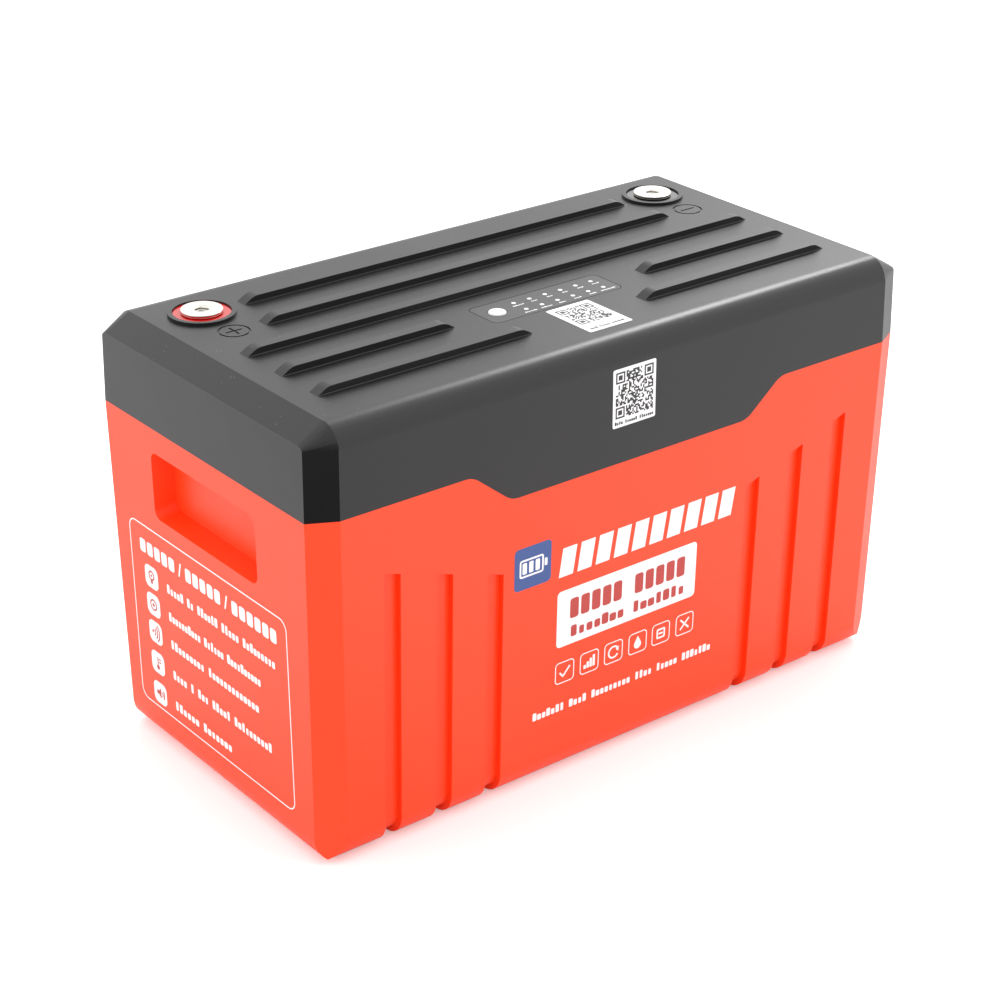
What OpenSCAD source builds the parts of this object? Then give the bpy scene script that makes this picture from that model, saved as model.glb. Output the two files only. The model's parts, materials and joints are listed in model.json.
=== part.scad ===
// Deep cycle battery: a lithium iron phosphate block of eight cells in a drafted two-part
// housing, with two threaded terminals, a state indicator with a push button, and a
// protection board beside the cells. Millimetres. The origin is at the centre of the base,
// +X runs along the length towards the negative terminal, +Z is up.

/* [Cells] */
// Thickness of one cell, along the stack
cell_t = 36.7; // [30:0.1:46]
// Width of one cell, across the housing
cell_w = 130.3; // [112:0.1:160]
// Height of one cell can
cell_h = 196; // [160:0.5:240]
// Height of a cell post above its can
post_h = 4.5; // [3:0.5:7]
// Diameter of a cell post
post_d = 14; // [11:0.5:16]
// Distance between the two posts of a cell
post_pitch = 70; // [58:1:90]
// Thickness of the insulating sheet between two cells
sheet_t = 0.5; // [0.3:0.1:1.5]
// Thickness of an end plate
end_plate_t = 8; // [5:0.5:12]
// Thickness of the foam under the cells
pad_t = 3.5; // [3:0.5:6]

/* [Housing] */
// Wall thickness of the case and the cover
wall = 3.2; // [2.6:0.1:4.2]
// Thickness of the case floor
floor_t = 4; // [3.5:0.5:6]
// Space between an end plate and the wall behind a grip pocket
end_space = 19.8; // [16:0.1:30]
// Space in front of the cells for the protection board
board_space = 38.8; // [36:0.1:60]
// Space behind the cells
back_space = 5.5; // [4.8:0.1:12]
// Space between the cell posts and the underside of the deck
head_space = 23.8; // [23:0.1:40]
// Depth of the cover's skirt at the ends
skirt_h = 46; // [38:0.5:60]
// How far the skirt dips lower in the middle of the long sides
tongue_h = 18.6; // [12:0.2:26]
// Length of the low stretch of the skirt
tongue_l = 155; // [120:1:200]
// Horizontal run of the slope at each end of the low stretch
tongue_run = 23.5; // [18:0.5:32]
// Corner chamfer leg along the length
corner_x = 14.6; // [8:0.2:20]
// Corner chamfer leg across the width
corner_y = 7.7; // [5:0.1:12]
// Fillet along the bottom of the long sides
side_fillet = 14.6; // [10:0.2:18]
// Fillet along the bottom of the ends
end_fillet = 15.5; // [10:0.5:20]
// Rounding along the top of the long sides
deck_fillet = 12.4; // [8:0.2:14]
// Horizontal leg of the bevel at the ends of the deck
bevel_x = 14; // [8:0.5:18]
// Vertical leg of the bevel at the ends of the deck
bevel_z = 8.4; // [5:0.2:12]

/* [Grooves and grips] */
// Width of a side groove
groove_w = 9.6; // [6:0.2:12]
// Depth of a side groove
groove_depth = 3.3; // [2:0.1:3.6]
// Distance from the middle of the side to the first groove
groove_x = 86; // [60:1:100]
// Distance between neighbouring grooves
groove_pitch = 31; // [20:0.5:36]
// Opening length of a grip pocket
grip_l = 94.4; // [80:0.2:120]
// Opening height of a grip pocket
grip_h = 36.9; // [28:0.1:44]
// Depth of a grip pocket
grip_depth = 12; // [9:0.5:15]
// Distance from the parting line down to the middle of a grip pocket
grip_drop = 31.5; // [29:0.5:45]

/* [Deck] */
// Width of a stiffening rib
rib_w = 6.8; // [5:0.2:9]
// Height of a stiffening rib
rib_h = 3.6; // [2:0.1:5]
// Length of the ramp at a rib's end
rib_ramp = 6; // [4:0.5:9]
// Distance from the side of the housing to the outer ribs' middle
rib_margin = 38.1; // [34:0.1:50]
// Distance from the end of the housing to the long ribs
rib_end_gap = 28.1; // [24:0.1:40]
// Half of the gap in the rib behind the indicator panel
rib_gap_back = 61.5; // [50:0.5:70]
// Half of the gap in the rib in front of the indicator panel
rib_gap_front = 36.3; // [30:0.1:45]
// Length of the indicator panel
panel_l = 84; // [80:1:100]
// Width of the indicator panel
panel_w = 24.4; // [22:0.2:27]
// Distance between neighbouring indicator lamps
lamp_pitch = 10.15; // [8:0.05:10.5]
// Distance between the two lamp rows
lamp_row = 10.2; // [8:0.1:12]
// Diameter of the push button
button_d = 9.5; // [7:0.1:11]
// Travel of the push button
button_travel = 0.8; // [0.4:0.1:1]

/* [Terminals] */
// Distance from the end of the housing to a terminal's middle
terminal_end = 41.7; // [36:0.1:55]
// Diameter of the moulded boss around a terminal
boss_d = 34.7; // [30:0.1:38]
// Diameter of the insulating ring
ring_d = 29.7; // [26:0.1:32]
// Diameter of a terminal's contact disc
disc_d = 21.4; // [18:0.1:24]
// Height of a contact disc above the deck
disc_z = 2.7; // [2.2:0.1:5]
// Diameter of a terminal's shank
shank_d = 14; // [12:0.5:16]
// Core diameter of the terminal thread, 6.8 for M8
thread_d = 6.8; // [5:0.1:6.8]
// Depth of the terminal thread
thread_depth = 14; // [10:0.5:14]

/* [Hidden] */

cell_count = 8;
sides = [-1, 1];

// Draft of the moulded walls, as sideways travel for each millimetre of height
case_end_draft = 0.0087;
case_side_draft = 0.0195;
cover_end_draft = 0.0176;
cover_side_draft = 0.0151;

// Small distances that keep pieces apart
fit_gap = 0.15;
slip_gap = 0.3;
overlap = 0.5;

// Heights, from the base up
cell_z = floor_t + pad_t;
can_top = cell_z + cell_h;
post_top = can_top + post_h;
roof_z = post_top + head_space;
deck_z = roof_z + wall;
parting_z = deck_z - skirt_h;
tongue_z = parting_z - tongue_h;

// Plan sizes; half_l and half_w are taken at the parting line
stack_l = cell_count * cell_t + (cell_count - 1) * sheet_t;
half_l = stack_l / 2 + end_plate_t + end_space + grip_depth + wall;
base_half_w = (board_space + cell_w + back_space) / 2 + wall + groove_depth;
half_w = base_half_w + parting_z * case_side_draft;
cell_y = base_half_w - wall - groove_depth - back_space - cell_w / 2;
block_front = cell_y - cell_w / 2;
block_back = cell_y + cell_w / 2;
tall = deck_z + 40;
far = half_l + half_w;

// Lip and rebate where the cover sits on the case
lip_h = 6;
lip_t = 1.4;
seal_h = 0.8;
bend_r = 13;

// How far the ends of the deck's bevels bend down at the corners
corner_dip = 2.8;
corner_rise = 0.35;
corner_steps = 5;

// Groove tops follow one slanted line on each half of a side
groove_top_z = parting_z - 46.6;
groove_slope = 0.33;

// Grip pocket
grip_z = parting_z - grip_drop;
grip_taper = 2;
grip_corner = 5;

// Deck pattern
rib_pitch = (2 * half_w - 2 * rib_margin) / 4;
rib_shift = 0.8;
rib_end = half_l - rib_end_gap;
rib_round = 10;
rib_foot = 0.5;
terminal_x = half_l - terminal_end;
terminal_y = rib_shift + 2 * rib_pitch;
symbol_y = rib_shift + rib_pitch;
symbol_d = 16.6;
symbol_arm = 9.5;
symbol_line = 1.1;
symbol_depth = 0.5;
rib_boss_gap = 5.6;
rib_symbol_gap = 8.1;

// Indicator panel
panel_x = -1;
panel_y = rib_shift - rib_pitch;
panel_r = 4;
film_t = 0.5;
film_gap = 0.4;
lamp_count = 6;
lamp_d = 2.4;
lamp_first_x = -18;
button_x = -32.5;
button_top = deck_z + 0.6;
board_t = 1.6;
display_top = roof_z - 7.3;
display_bottom = display_top - board_t;
display_l = panel_l + 4;
display_w = panel_w + 2;
flange_t = 1.2;
flange_top = roof_z - slip_gap;
housing_h = 3;
housing_w = 8;
plunger_d = 3.4;
dome_d = 5.6;
dome_h = 0.9;
dome_t = 0.2;
plunger_foot = button_travel + 2 * dome_t;
button_gap = button_travel + slip_gap;

// Terminals
boss_h = 1.5;
boss_floor = roof_z + 1.8;
boss_under = roof_z - 2;
ring_top = deck_z + 0.6;
disc_t = 1.7;
disc_top = deck_z + disc_z;
disc_under = disc_top - disc_t;
washer_t = 1.5;
shank_nut_h = 5;
link_t = 2;
link_rise = 6;
lug_z = post_top + link_rise;
terminal_foot = lug_z + link_t;
lug_d = 18;
screw_depth = 5;

// Cell links and their nuts
link_w = 18;
nut_af = 10;
nut_h = 5;

// Protection board, which stands in the space in front of the cells
strap_t = 0.8;
strap_h = 16;
carrier_t = 3;
carrier_y = block_front - strap_t - fit_gap - carrier_t;
carrier_l = 250;
carrier_h = 150;
standoff = 4;
bms_y = carrier_y - standoff - board_t;
bms_x = -12;
bms_l = 200;
bms_h = 104;
bms_z = cell_z + 110;
transistor_t = 4.4;
transistor_count = 9;
sink_base = 3;
sink_fin = 6;
cable_d = 7;
sense_pitch = 4;
sense_x = -cell_count / 2 * sense_pitch;
sense_z = bms_z + bms_h / 2 - 16;
wire_d = 1.6;
plate_t = 1.2;
wire_z = can_top + plate_t + 0.75 * wire_d;
lug_l = 14;
barrel_rise = 4;
cable_y = bms_y - 3 - barrel_rise;
screw_d = 6;
post_b = [74, bms_z + 28];
post_p = [74, bms_z - 20];

/* Outlines and shared shapes */

function case_half_l(z) = half_l - case_end_draft * (parting_z - z);
function case_half_w(z) = half_w - case_side_draft * (parting_z - z);
function cover_half_l(z) = half_l + cover_end_draft * (parting_z - z);
function cover_half_w(z) = half_w + cover_side_draft * (parting_z - z);
function arc(c, r, from, to, steps) =
    [for (i = [0:steps]) let (a = from + (to - from) * i / steps) c + r * [cos(a), sin(a)]];
function mirrored(points) = [for (i = [len(points) - 1:-1:0]) [-points[i][0], points[i][1]]];

// Extrudes an outline drawn in Y and Z along X, centred
module along_x(length) {
    rotate([90, 0, 90])
        linear_extrude(length, center = true)
            children();
}

// Extrudes an outline drawn in X and Z along Y, centred
module along_y(length) {
    rotate([90, 0, 0])
        linear_extrude(length, center = true)
            children();
}

module rounded_rect(length, width, r) {
    square([length - 2 * r, width], center = true);
    square([length, width - 2 * r], center = true);
    for (x = sides, y = sides)
        translate([x * (length / 2 - r), y * (width / 2 - r)])
            circle(r, $fn = 48);
}

module ring_solid(outer_d, inner_d, height) {
    difference() {
        cylinder(h = height, d = outer_d, $fn = 96);
        translate([0, 0, -1])
            cylinder(h = height + 2, d = inner_d, $fn = 96);
    }
}

module hex_nut(af, height, bore) {
    difference() {
        cylinder(h = height, d = af / cos(30), $fn = 6);
        translate([0, 0, -1])
            cylinder(h = height + 2, d = bore, $fn = 48);
    }
}

// Outline with its two lower corners rounded; half(z) falls linearly to the bottom
module tub_outline(bottom_half, draft, bottom, top, r) {
    lean = atan(draft);
    centre_x = bottom_half + draft * (bottom + r) - r / cos(lean);
    touch = [centre_x + r * cos(lean), bottom + r - r * sin(lean)];
    right = [[centre_x, bottom], touch, [bottom_half + draft * top, top]];
    polygon(concat(right, mirrored(right)));
    for (x = sides)
        translate([x * centre_x, bottom + r])
            circle(r, $fn = 96);
}

// Cuts away everything outside the four slanted corners
module corner_cuts(inset, draft) {
    across = atan2(-corner_y, corner_x);
    for (x = [0, 1], y = [0, 1])
        mirror([x, 0, 0])
            mirror([0, y, 0])
                translate([half_l - corner_x, half_w, parting_z])
                    rotate([0, 0, across])
                        rotate([draft, 0, 0])
                            translate([-far / 2, -inset, -tall])
                                cube([far, far / 2, 2 * tall]);
}

// Rounds the top of the cover's four corners over to the corners of the deck. Each cut meets the
// end's upright edge a little higher than the last, and touches the rounding along the side
module corner_rounding() {
    low = deck_z - deck_fillet - parting_z;
    centre = [
        half_l - corner_x - low * cover_end_draft,
        half_w - (deck_z - parting_z) * cover_side_draft - deck_fillet,
        deck_z - deck_fillet
    ];
    for (x = [0, 1], y = [0, 1], step = [1:corner_steps]) {
        turn = step * 90 / (corner_steps + 1);
        high = deck_z - bevel_z - corner_dip + step * corner_rise - parting_z;
        pivot = [
            half_l - high * cover_end_draft,
            half_w - corner_y - high * cover_side_draft,
            high + parting_z
        ];
        touch = centre + deck_fillet * [0, cos(turn), sin(turn)];
        out = cross(touch - pivot, [0, -sin(turn), cos(turn)]);
        mirror([x, 0, 0])
            mirror([0, y, 0])
                translate(pivot)
                    rotate([0, -atan2(out[2], norm([out[0], out[1]])), atan2(out[1], out[0])])
                        translate([0, -far, -far])
                            cube([far, 2 * far, 2 * far]);
    }
}

// Cuts the same four corners from a smaller body, with one flat each
module corner_slopes(inset, lean) {
    across = atan2(-corner_y, corner_x);
    top_run = bevel_x * sin(-across) + (deck_fillet - corner_y) * cos(across);
    start_z = deck_z - deck_fillet;
    for (x = [0, 1], y = [0, 1])
        mirror([x, 0, 0])
            mirror([0, y, 0])
                translate([half_l - corner_x, half_w, start_z])
                    rotate([0, 0, across])
                        translate([-far / 2, -(start_z - parting_z) * tan(lean), 0])
                            rotate([atan2(top_run, deck_fillet), 0, 0])
                                translate([0, -inset, -tall])
                                    cube([far, far / 2, 2 * tall]);
}

// Solid body of the case, inset from its outer faces
module case_block(inset, bottom) {
    lean = atan((case_end_draft * corner_y + case_side_draft * corner_x) / norm([corner_x, corner_y]));
    difference() {
        intersection() {
            along_x(2 * far)
                tub_outline(case_half_w(0) - inset, case_side_draft, bottom, tall, side_fillet - inset);
            along_y(2 * far)
                tub_outline(case_half_l(0) - inset, case_end_draft, bottom, tall, end_fillet - inset);
        }
        corner_cuts(inset, -lean);
    }
}

// Solid body of the cover, inset from its outer faces
module cover_block(inset) {
    lean = atan((cover_end_draft * corner_y + cover_side_draft * corner_x) / norm([corner_x, corner_y]));
    low = tongue_z - 20;
    top = deck_z - inset;
    r = deck_fillet - inset;
    side_lean = atan(cover_side_draft);
    centre = [cover_half_w(top - r) - inset - r / cos(side_lean), top - r];
    side = [
        [cover_half_w(low) - inset, low],
        centre + r * [cos(side_lean), sin(side_lean)],
        [centre[0], top]
    ];
    bevel = atan2(bevel_z, bevel_x);
    bevel_low = deck_z - bevel_z - inset * tan(45 - bevel / 2);
    end = [
        [cover_half_l(low) - inset, low],
        [cover_half_l(bevel_low) - inset, bevel_low],
        [cover_half_l(deck_z - bevel_z) - bevel_x - inset * tan(bevel / 2), top]
    ];
    difference() {
        intersection() {
            along_x(2 * far)
                union() {
                    polygon(concat(side, mirrored(side)));
                    for (x = sides)
                        translate([x * centre[0], centre[1]])
                            circle(r, $fn = 96);
                }
            along_y(2 * far)
                polygon(concat(end, mirrored(end)));
        }
        corner_cuts(inset, lean);
        if (inset > 0) corner_slopes(inset, lean);
        else corner_rounding();
    }
}

// Everything below the parting line raised by dz
module below_parting(dz) {
    slope = atan2(tongue_h, tongue_run);
    reach = bend_r * tan(slope / 2);
    low_x = tongue_l / 2;
    high_x = low_x + tongue_run;
    low_bend = arc([low_x - reach, tongue_z + bend_r], bend_r, -90, slope - 90, 6);
    high_bend = arc([high_x + reach, parting_z - bend_r], bend_r, 90 + slope, 90, 6);
    right = concat(low_bend, high_bend, [[far, parting_z], [far, -tall]]);
    translate([0, 0, dz])
        along_y(2 * far)
            polygon(concat(right, mirrored(right)));
}

// Closed band inside the cover's wall, between two insets
module skirt_band(outer, inner) {
    difference() {
        cover_block(outer);
        cover_block(inner);
    }
}

/* Case */

// Slices across the housing at every groove, up to the slanted groove tops
module groove_slices(width, margin) {
    for (x = sides, i = [0:2])
        let (middle = groove_x + i * groove_pitch, near = middle - width / 2, out = middle + width / 2)
            mirror([x < 0 ? 1 : 0, 0, 0])
                along_y(4 * half_w)
                    polygon([
                        [near, -overlap],
                        [out, -overlap],
                        [out, groove_top_z + margin + (out - groove_x - groove_pitch) * groove_slope],
                        [near, groove_top_z + margin + (near - groove_x - groove_pitch) * groove_slope]
                    ]);
}

// The long sides from the groove floor outwards, round the bottom fillet
module groove_skin(depth) {
    difference() {
        for (y = sides)
            translate([0, y * (base_half_w - side_fillet + half_w), tall / 2])
                cube([2 * half_l, 2 * half_w, tall + 2], center = true);
        along_x(2 * half_l + 2)
            tub_outline(case_half_w(0) - depth, case_side_draft, depth, tall, side_fillet - depth);
    }
}

module grip_pocket(grow, depth) {
    for (x = sides)
        hull()
            for (y = sides, z = sides) {
                translate([x * (half_l + grow), y * (grip_l / 2 - grip_corner), grip_z + z * (grip_h / 2 - grip_corner)])
                    rotate([0, x * -90, 0])
                        cylinder(h = 0.1, r = grip_corner + grow, $fn = 32);
                translate([
                    x * (half_l - depth),
                    y * (grip_l / 2 - grip_taper - grip_corner),
                    grip_z + z * (grip_h / 2 - grip_taper - grip_corner)
                ])
                    rotate([0, x * 90, 0])
                        cylinder(h = 0.1, r = grip_corner + grow, $fn = 32);
            }
}

module case_cavity() {
    back = wall + groove_depth;
    difference() {
        case_block(wall, floor_t);
        intersection() {
            groove_slices(groove_w + 2 * wall, wall);
            groove_skin(back);
        }
        grip_pocket(wall, grip_depth + wall);
    }
}

module case() {
    color("tomato") {
        difference() {
            intersection() {
                case_block(0, 0);
                below_parting(0);
            }
            case_cavity();
            intersection() {
                groove_slices(groove_w, 0);
                groove_skin(groove_depth);
            }
            grip_pocket(0, grip_depth);
        }
        difference() {
            intersection() {
                skirt_band(wall - lip_t, wall);
                below_parting(lip_h);
            }
            below_parting(-overlap);
        }
    }
}

/* Cover */

module rib(from, to) {
    turn = atan2(rib_h, rib_ramp);
    reach = rib_round * tan(turn / 2);
    run = rib_ramp * (1 + overlap / rib_h);
    left = arc([from + rib_ramp + reach, rib_h - rib_round], rib_round, 90 + turn, 90, 5);
    right = arc([to - rib_ramp - reach, rib_h - rib_round], rib_round, 90, 90 - turn, 5);
    foot = arc([rib_w / 2 + rib_foot, rib_foot], rib_foot, 270, 180, 4);
    section = concat([[rib_w / 2 + rib_foot, -overlap]], foot, [[rib_w / 2 - rib_foot / 5, rib_h]]);
    intersection() {
        along_y(3 * rib_w)
            polygon(concat(
                [[from + rib_ramp - run, -overlap]],
                left,
                right,
                [[to - rib_ramp + run, -overlap]]
            ));
        translate([(from + to) / 2, 0, 0])
            along_x(to - from + 2 * rib_w)
                polygon(concat(section, mirrored(section)));
    }
}

module ribs() {
    first = terminal_x - boss_d / 2 - rib_boss_gap;
    second = terminal_x - symbol_d / 2 - rib_symbol_gap;
    spans = [
        [2, -first, first],
        [1, -second, second],
        [0, -rib_end, rib_end],
        [-1, -rib_end, -rib_gap_back],
        [-1, rib_gap_back, rib_end],
        [-2, -rib_end, -rib_gap_front],
        [-2, rib_gap_front, rib_end]
    ];
    for (s = spans)
        translate([0, rib_shift + s[0] * rib_pitch, deck_z])
            rib(s[1], s[2]);
}

module at_terminals() {
    for (x = sides)
        translate([x * terminal_x, terminal_y, 0])
            children();
}

module at_lamps() {
    for (i = [0:lamp_count - 1], y = sides)
        translate([lamp_first_x + i * lamp_pitch, panel_y + y * lamp_row / 2, 0])
            children();
}

module at_display_screws() {
    for (x = sides, y = sides)
        translate([panel_x + x * (display_l / 2 - 4), panel_y + y * (display_w / 2 - 4), 0])
            children();
}

module symbol(x, arms) {
    translate([x, symbol_y, deck_z - symbol_depth]) {
        ring_solid(symbol_d, symbol_d - 2 * symbol_line, 1);
        for (a = arms)
            rotate([0, 0, a])
                translate([-symbol_arm / 2, -symbol_line / 2, 0])
                    cube([symbol_arm, symbol_line, 1]);
    }
}

module cover() {
    color("dimgray")
        difference() {
            union() {
                difference() {
                    cover_block(0);
                    cover_block(wall);
                    below_parting(0);
                    intersection() {
                        cover_block(wall - lip_t - fit_gap);
                        below_parting(lip_h + seal_h);
                    }
                }
                ribs();
                at_terminals()
                    translate([0, 0, boss_under])
                        cylinder(h = deck_z + boss_h - boss_under, d = boss_d, $fn = 120);
                at_display_screws()
                    translate([0, 0, display_top])
                        cylinder(h = roof_z - display_top + overlap, d = 6, $fn = 48);
            }
            at_terminals() {
                translate([0, 0, boss_floor])
                    cylinder(h = 10, d = ring_d + 2 * fit_gap, $fn = 120);
                translate([0, 0, boss_under - 1])
                    cylinder(h = 20, d = shank_d + 2 * fit_gap, $fn = 96);
                translate([0, 0, boss_floor - 1.2])
                    ring_solid(22.6, 19, 3);
            }
            symbol(-terminal_x, [0, 90]);
            symbol(terminal_x, [0]);
            translate([panel_x, panel_y, deck_z - film_t])
                linear_extrude(2)
                    rounded_rect(panel_l, panel_w, panel_r);
            at_lamps()
                translate([0, 0, roof_z - 1])
                    cylinder(h = 8, d = lamp_d + 2 * fit_gap, $fn = 32);
            translate([button_x, panel_y, roof_z - 1])
                cylinder(h = 8, d = button_d + 2 * slip_gap, $fn = 64);
            at_display_screws()
                translate([0, 0, display_top - 1])
                    cylinder(h = 6, d = 2, $fn = 32);
        }
}

module cover_seal() {
    color("black")
        difference() {
            intersection() {
                skirt_band(wall - lip_t, wall);
                below_parting(lip_h + seal_h);
            }
            below_parting(lip_h);
        }
}

/* Terminals */

module terminal(x) {
    translate([x * terminal_x, terminal_y, 0])
        color("gainsboro")
            difference() {
                union() {
                    translate([0, 0, disc_under])
                        cylinder(h = disc_t, d = disc_d, $fn = 120);
                    translate([0, 0, terminal_foot])
                        cylinder(h = disc_under - terminal_foot + overlap, d = shank_d, $fn = 96);
                }
                translate([0, 0, disc_top - thread_depth])
                    cylinder(h = thread_depth + 1, d = thread_d, $fn = 64);
                translate([0, 0, disc_top - 0.8])
                    rotate_extrude($fn = 64)
                        polygon([[0, 0], [thread_d / 2, 0], [thread_d / 2 + 1.8, 1.8], [0, 1.8]]);
                translate([0, 0, terminal_foot - 1])
                    cylinder(h = screw_depth + 1, d = thread_d, $fn = 64);
            }
}

module terminal_ring(x) {
    collar_d = disc_d - 3;
    translate([x * terminal_x, terminal_y, boss_floor])
        difference() {
            union() {
                cylinder(h = ring_top - boss_floor, d = ring_d, $fn = 120);
                cylinder(h = disc_under - boss_floor, d = collar_d, $fn = 96);
            }
            translate([0, 0, -1])
                cylinder(h = 20, d = shank_d + 2 * fit_gap, $fn = 96);
        }
}

module positive_terminal() {
    terminal(-1);
}

module negative_terminal() {
    terminal(1);
}

module positive_ring() {
    color("red")
        terminal_ring(-1);
}

module negative_ring() {
    color("black")
        terminal_ring(1);
}

module terminal_seals() {
    color("black")
        at_terminals()
            translate([0, 0, boss_floor - 1.2])
                ring_solid(22.6, 19, 1.2);
}

module terminal_washers() {
    color("silver")
        at_terminals()
            translate([0, 0, boss_under - washer_t])
                ring_solid(26, shank_d + 2 * fit_gap, washer_t);
}

module terminal_nuts() {
    color("silver")
        at_terminals()
            translate([0, 0, boss_under - washer_t - shank_nut_h])
                hex_nut(22, shank_nut_h, shank_d + 2 * fit_gap);
}

module terminal_screws() {
    color("silver")
        at_terminals() {
            translate([0, 0, lug_z - 5])
                cylinder(h = 5, d = 13 / cos(30), $fn = 6);
            translate([0, 0, lug_z - 1])
                cylinder(h = link_t + screw_depth, d = thread_d - 0.2, $fn = 48);
        }
}

/* Indicator */

module indicator_film() {
    color("dimgray")
        translate([0, 0, deck_z - film_t])
            difference() {
                translate([panel_x, panel_y, 0])
                    linear_extrude(film_t)
                        rounded_rect(panel_l - 2 * film_gap, panel_w - 2 * film_gap, panel_r - film_gap);
                at_lamps()
                    translate([0, 0, -1])
                        cylinder(h = 3, d = lamp_d + 2 * fit_gap, $fn = 32);
                translate([button_x, panel_y, -1])
                    cylinder(h = 3, d = button_d + 2 * slip_gap, $fn = 64);
            }
}

module indicator_lenses() {
    color("white")
        at_lamps()
            translate([0, 0, display_top + 1.1])
                cylinder(h = deck_z - display_top - 1.1, d = lamp_d, $fn = 32);
}

module display_leds() {
    color("lemonchiffon")
        at_lamps()
            translate([0, 0, display_top + 0.5])
                cube([2, 1.3, 1], center = true);
}

module state_button() {
    plunger_top = display_top + housing_h + button_gap;
    color("white")
        translate([button_x, panel_y, 0]) {
            translate([0, 0, plunger_top])
                cylinder(h = button_top - plunger_top - 0.6, d = button_d, $fn = 64);
            translate([0, 0, button_top - 0.6])
                cylinder(h = 0.6, d1 = button_d, d2 = button_d - 1, $fn = 64);
            translate([0, 0, flange_top - flange_t])
                cylinder(h = flange_t, d = button_d + 3, $fn = 64);
        }
}

module switch_plunger() {
    color("black")
        translate([button_x, panel_y, display_top + plunger_foot])
            cylinder(h = housing_h + button_gap - plunger_foot, d = plunger_d, $fn = 48);
}

module switch_dome() {
    profile_r = (pow(dome_d / 2, 2) + dome_h * dome_h) / (2 * dome_h);
    color("silver")
        translate([button_x, panel_y, display_top])
            intersection() {
                translate([0, 0, dome_h - profile_r])
                    difference() {
                        sphere(r = profile_r, $fn = 64);
                        sphere(r = profile_r - dome_t, $fn = 64);
                    }
                cylinder(h = dome_h, d = dome_d, $fn = 48);
            }
}

module switch_housing() {
    color("black")
        translate([button_x, panel_y, display_top])
            difference() {
                translate([-housing_w / 2, -housing_w / 2, 0])
                    cube([housing_w, housing_w, housing_h]);
                translate([0, 0, -1])
                    cylinder(h = 2.6, d = dome_d + 2 * slip_gap, $fn = 48);
                cylinder(h = 2 * housing_h, d = plunger_d + 2 * slip_gap, $fn = 48);
            }
}

module display_board() {
    color("darkgreen")
        difference() {
            translate([panel_x - display_l / 2, panel_y - display_w / 2, display_bottom])
                cube([display_l, display_w, board_t]);
            at_display_screws()
                translate([0, 0, display_bottom - 1])
                    cylinder(h = 4, d = 2.4, $fn = 32);
        }
}

module display_screws() {
    color("silver")
        at_display_screws() {
            translate([0, 0, display_bottom - 1.6])
                cylinder(h = 1.6, d = 4.4, $fn = 32);
            translate([0, 0, display_bottom - overlap])
                cylinder(h = board_t + 5, d = 1.9, $fn = 32);
        }
}

module buzzer() {
    color("black")
        translate([panel_x, panel_y, display_bottom - 6.5]) {
            cylinder(h = 6.5, d = 12, $fn = 64);
            ring_solid(12.8, 11, 1);
        }
}

module display_cable() {
    top = display_bottom;
    ramp = top - 7;
    low = bms_z + bms_h / 2 - 8;
    from_y = panel_y - 8;
    to_y = bms_y - 2;
    color("gray")
        translate([28, 0, 0])
            along_x(14)
                polygon([
                    [from_y + 1, top],
                    [from_y, top],
                    [from_y, ramp + 1],
                    [to_y, ramp - 5],
                    [to_y, low],
                    [to_y + 2, low],
                    [to_y + 2, low + 1],
                    [to_y + 1, low + 1],
                    [to_y + 1, ramp - 6],
                    [from_y + 1, ramp]
                ]);
}

/* Labels */

module deck_label() {
    color("white")
        translate([0.4, rib_shift - 2 * rib_pitch - 2.4, deck_z])
            linear_extrude(0.2)
                rounded_rect(27.5, 35.2, 1);
}

module side_label() {
    color("white")
        translate([-0.3, -half_w, parting_z])
            rotate([atan(cover_side_draft) * -1, 0, 0])
                translate([0, 0, skirt_h / 2 - 6.5])
                    rotate([90, 0, 0])
                        linear_extrude(0.2)
                            rounded_rect(27.8, 31, 1);
}

/* Cells */

function cell_x(i) = (i - (cell_count - 1) / 2) * (cell_t + sheet_t);

module cell(i) {
    flip = i % 2 == 0 ? 1 : -1;
    edge = 3;
    translate([cell_x(i), cell_y, 0])
        color("steelblue") {
            translate([0, 0, cell_z])
                linear_extrude(cell_h)
                    rounded_rect(cell_t, cell_w, edge);
            for (y = sides)
                translate([0, y * post_pitch / 2, can_top - overlap])
                    difference() {
                        cylinder(h = post_h + overlap, d = post_d, $fn = 64);
                        translate([0, 0, 1])
                            cylinder(h = post_h + 1, d = screw_d + 0.2, $fn = 48);
                    }
            translate([0, 0, can_top - overlap])
                linear_extrude(1 + overlap)
                    rounded_rect(12, 20, 5.5);
            translate([0, flip * (post_pitch / 2 - 16), can_top - overlap])
                cylinder(h = 1.2 + overlap, d = 4, $fn = 32);
        }
}

module cell_sheets() {
    color("ivory")
        for (i = [0:cell_count - 2])
            translate([cell_x(i) + cell_t / 2, block_front + 1, cell_z])
                cube([sheet_t, cell_w - 2, cell_h]);
}

module cell_top_plate() {
    color("khaki")
        difference() {
            translate([-stack_l / 2, block_front, can_top])
                cube([stack_l, cell_w, plate_t]);
            for (i = [0:cell_count - 1])
                translate([cell_x(i), cell_y, 0]) {
                    for (y = sides)
                        translate([0, y * post_pitch / 2, can_top - 1])
                            cylinder(h = 4, d = post_d + 1, $fn = 48);
                    translate([0, 0, can_top - 1])
                        linear_extrude(4)
                            rounded_rect(13, 21, 6);
                    for (y = sides)
                        translate([0, y * (post_pitch / 2 - 16), can_top - 1])
                            cylinder(h = 4, d = 5, $fn = 32);
                }
        }
}

module end_plate(x) {
    color("silver")
        translate([x * (stack_l / 2 + end_plate_t / 2), cell_y, cell_z])
            difference() {
                translate([-end_plate_t / 2, -cell_w / 2, 0])
                    cube([end_plate_t, cell_w, cell_h]);
                for (y = [-1:1], z = [0:2])
                    translate([x * 4, y * cell_w * 0.3, cell_h * (0.2 + 0.3 * z)])
                        cube([end_plate_t, cell_w * 0.22, cell_h * 0.22], center = true);
            }
}

module end_plate_left() {
    end_plate(-1);
}

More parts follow.
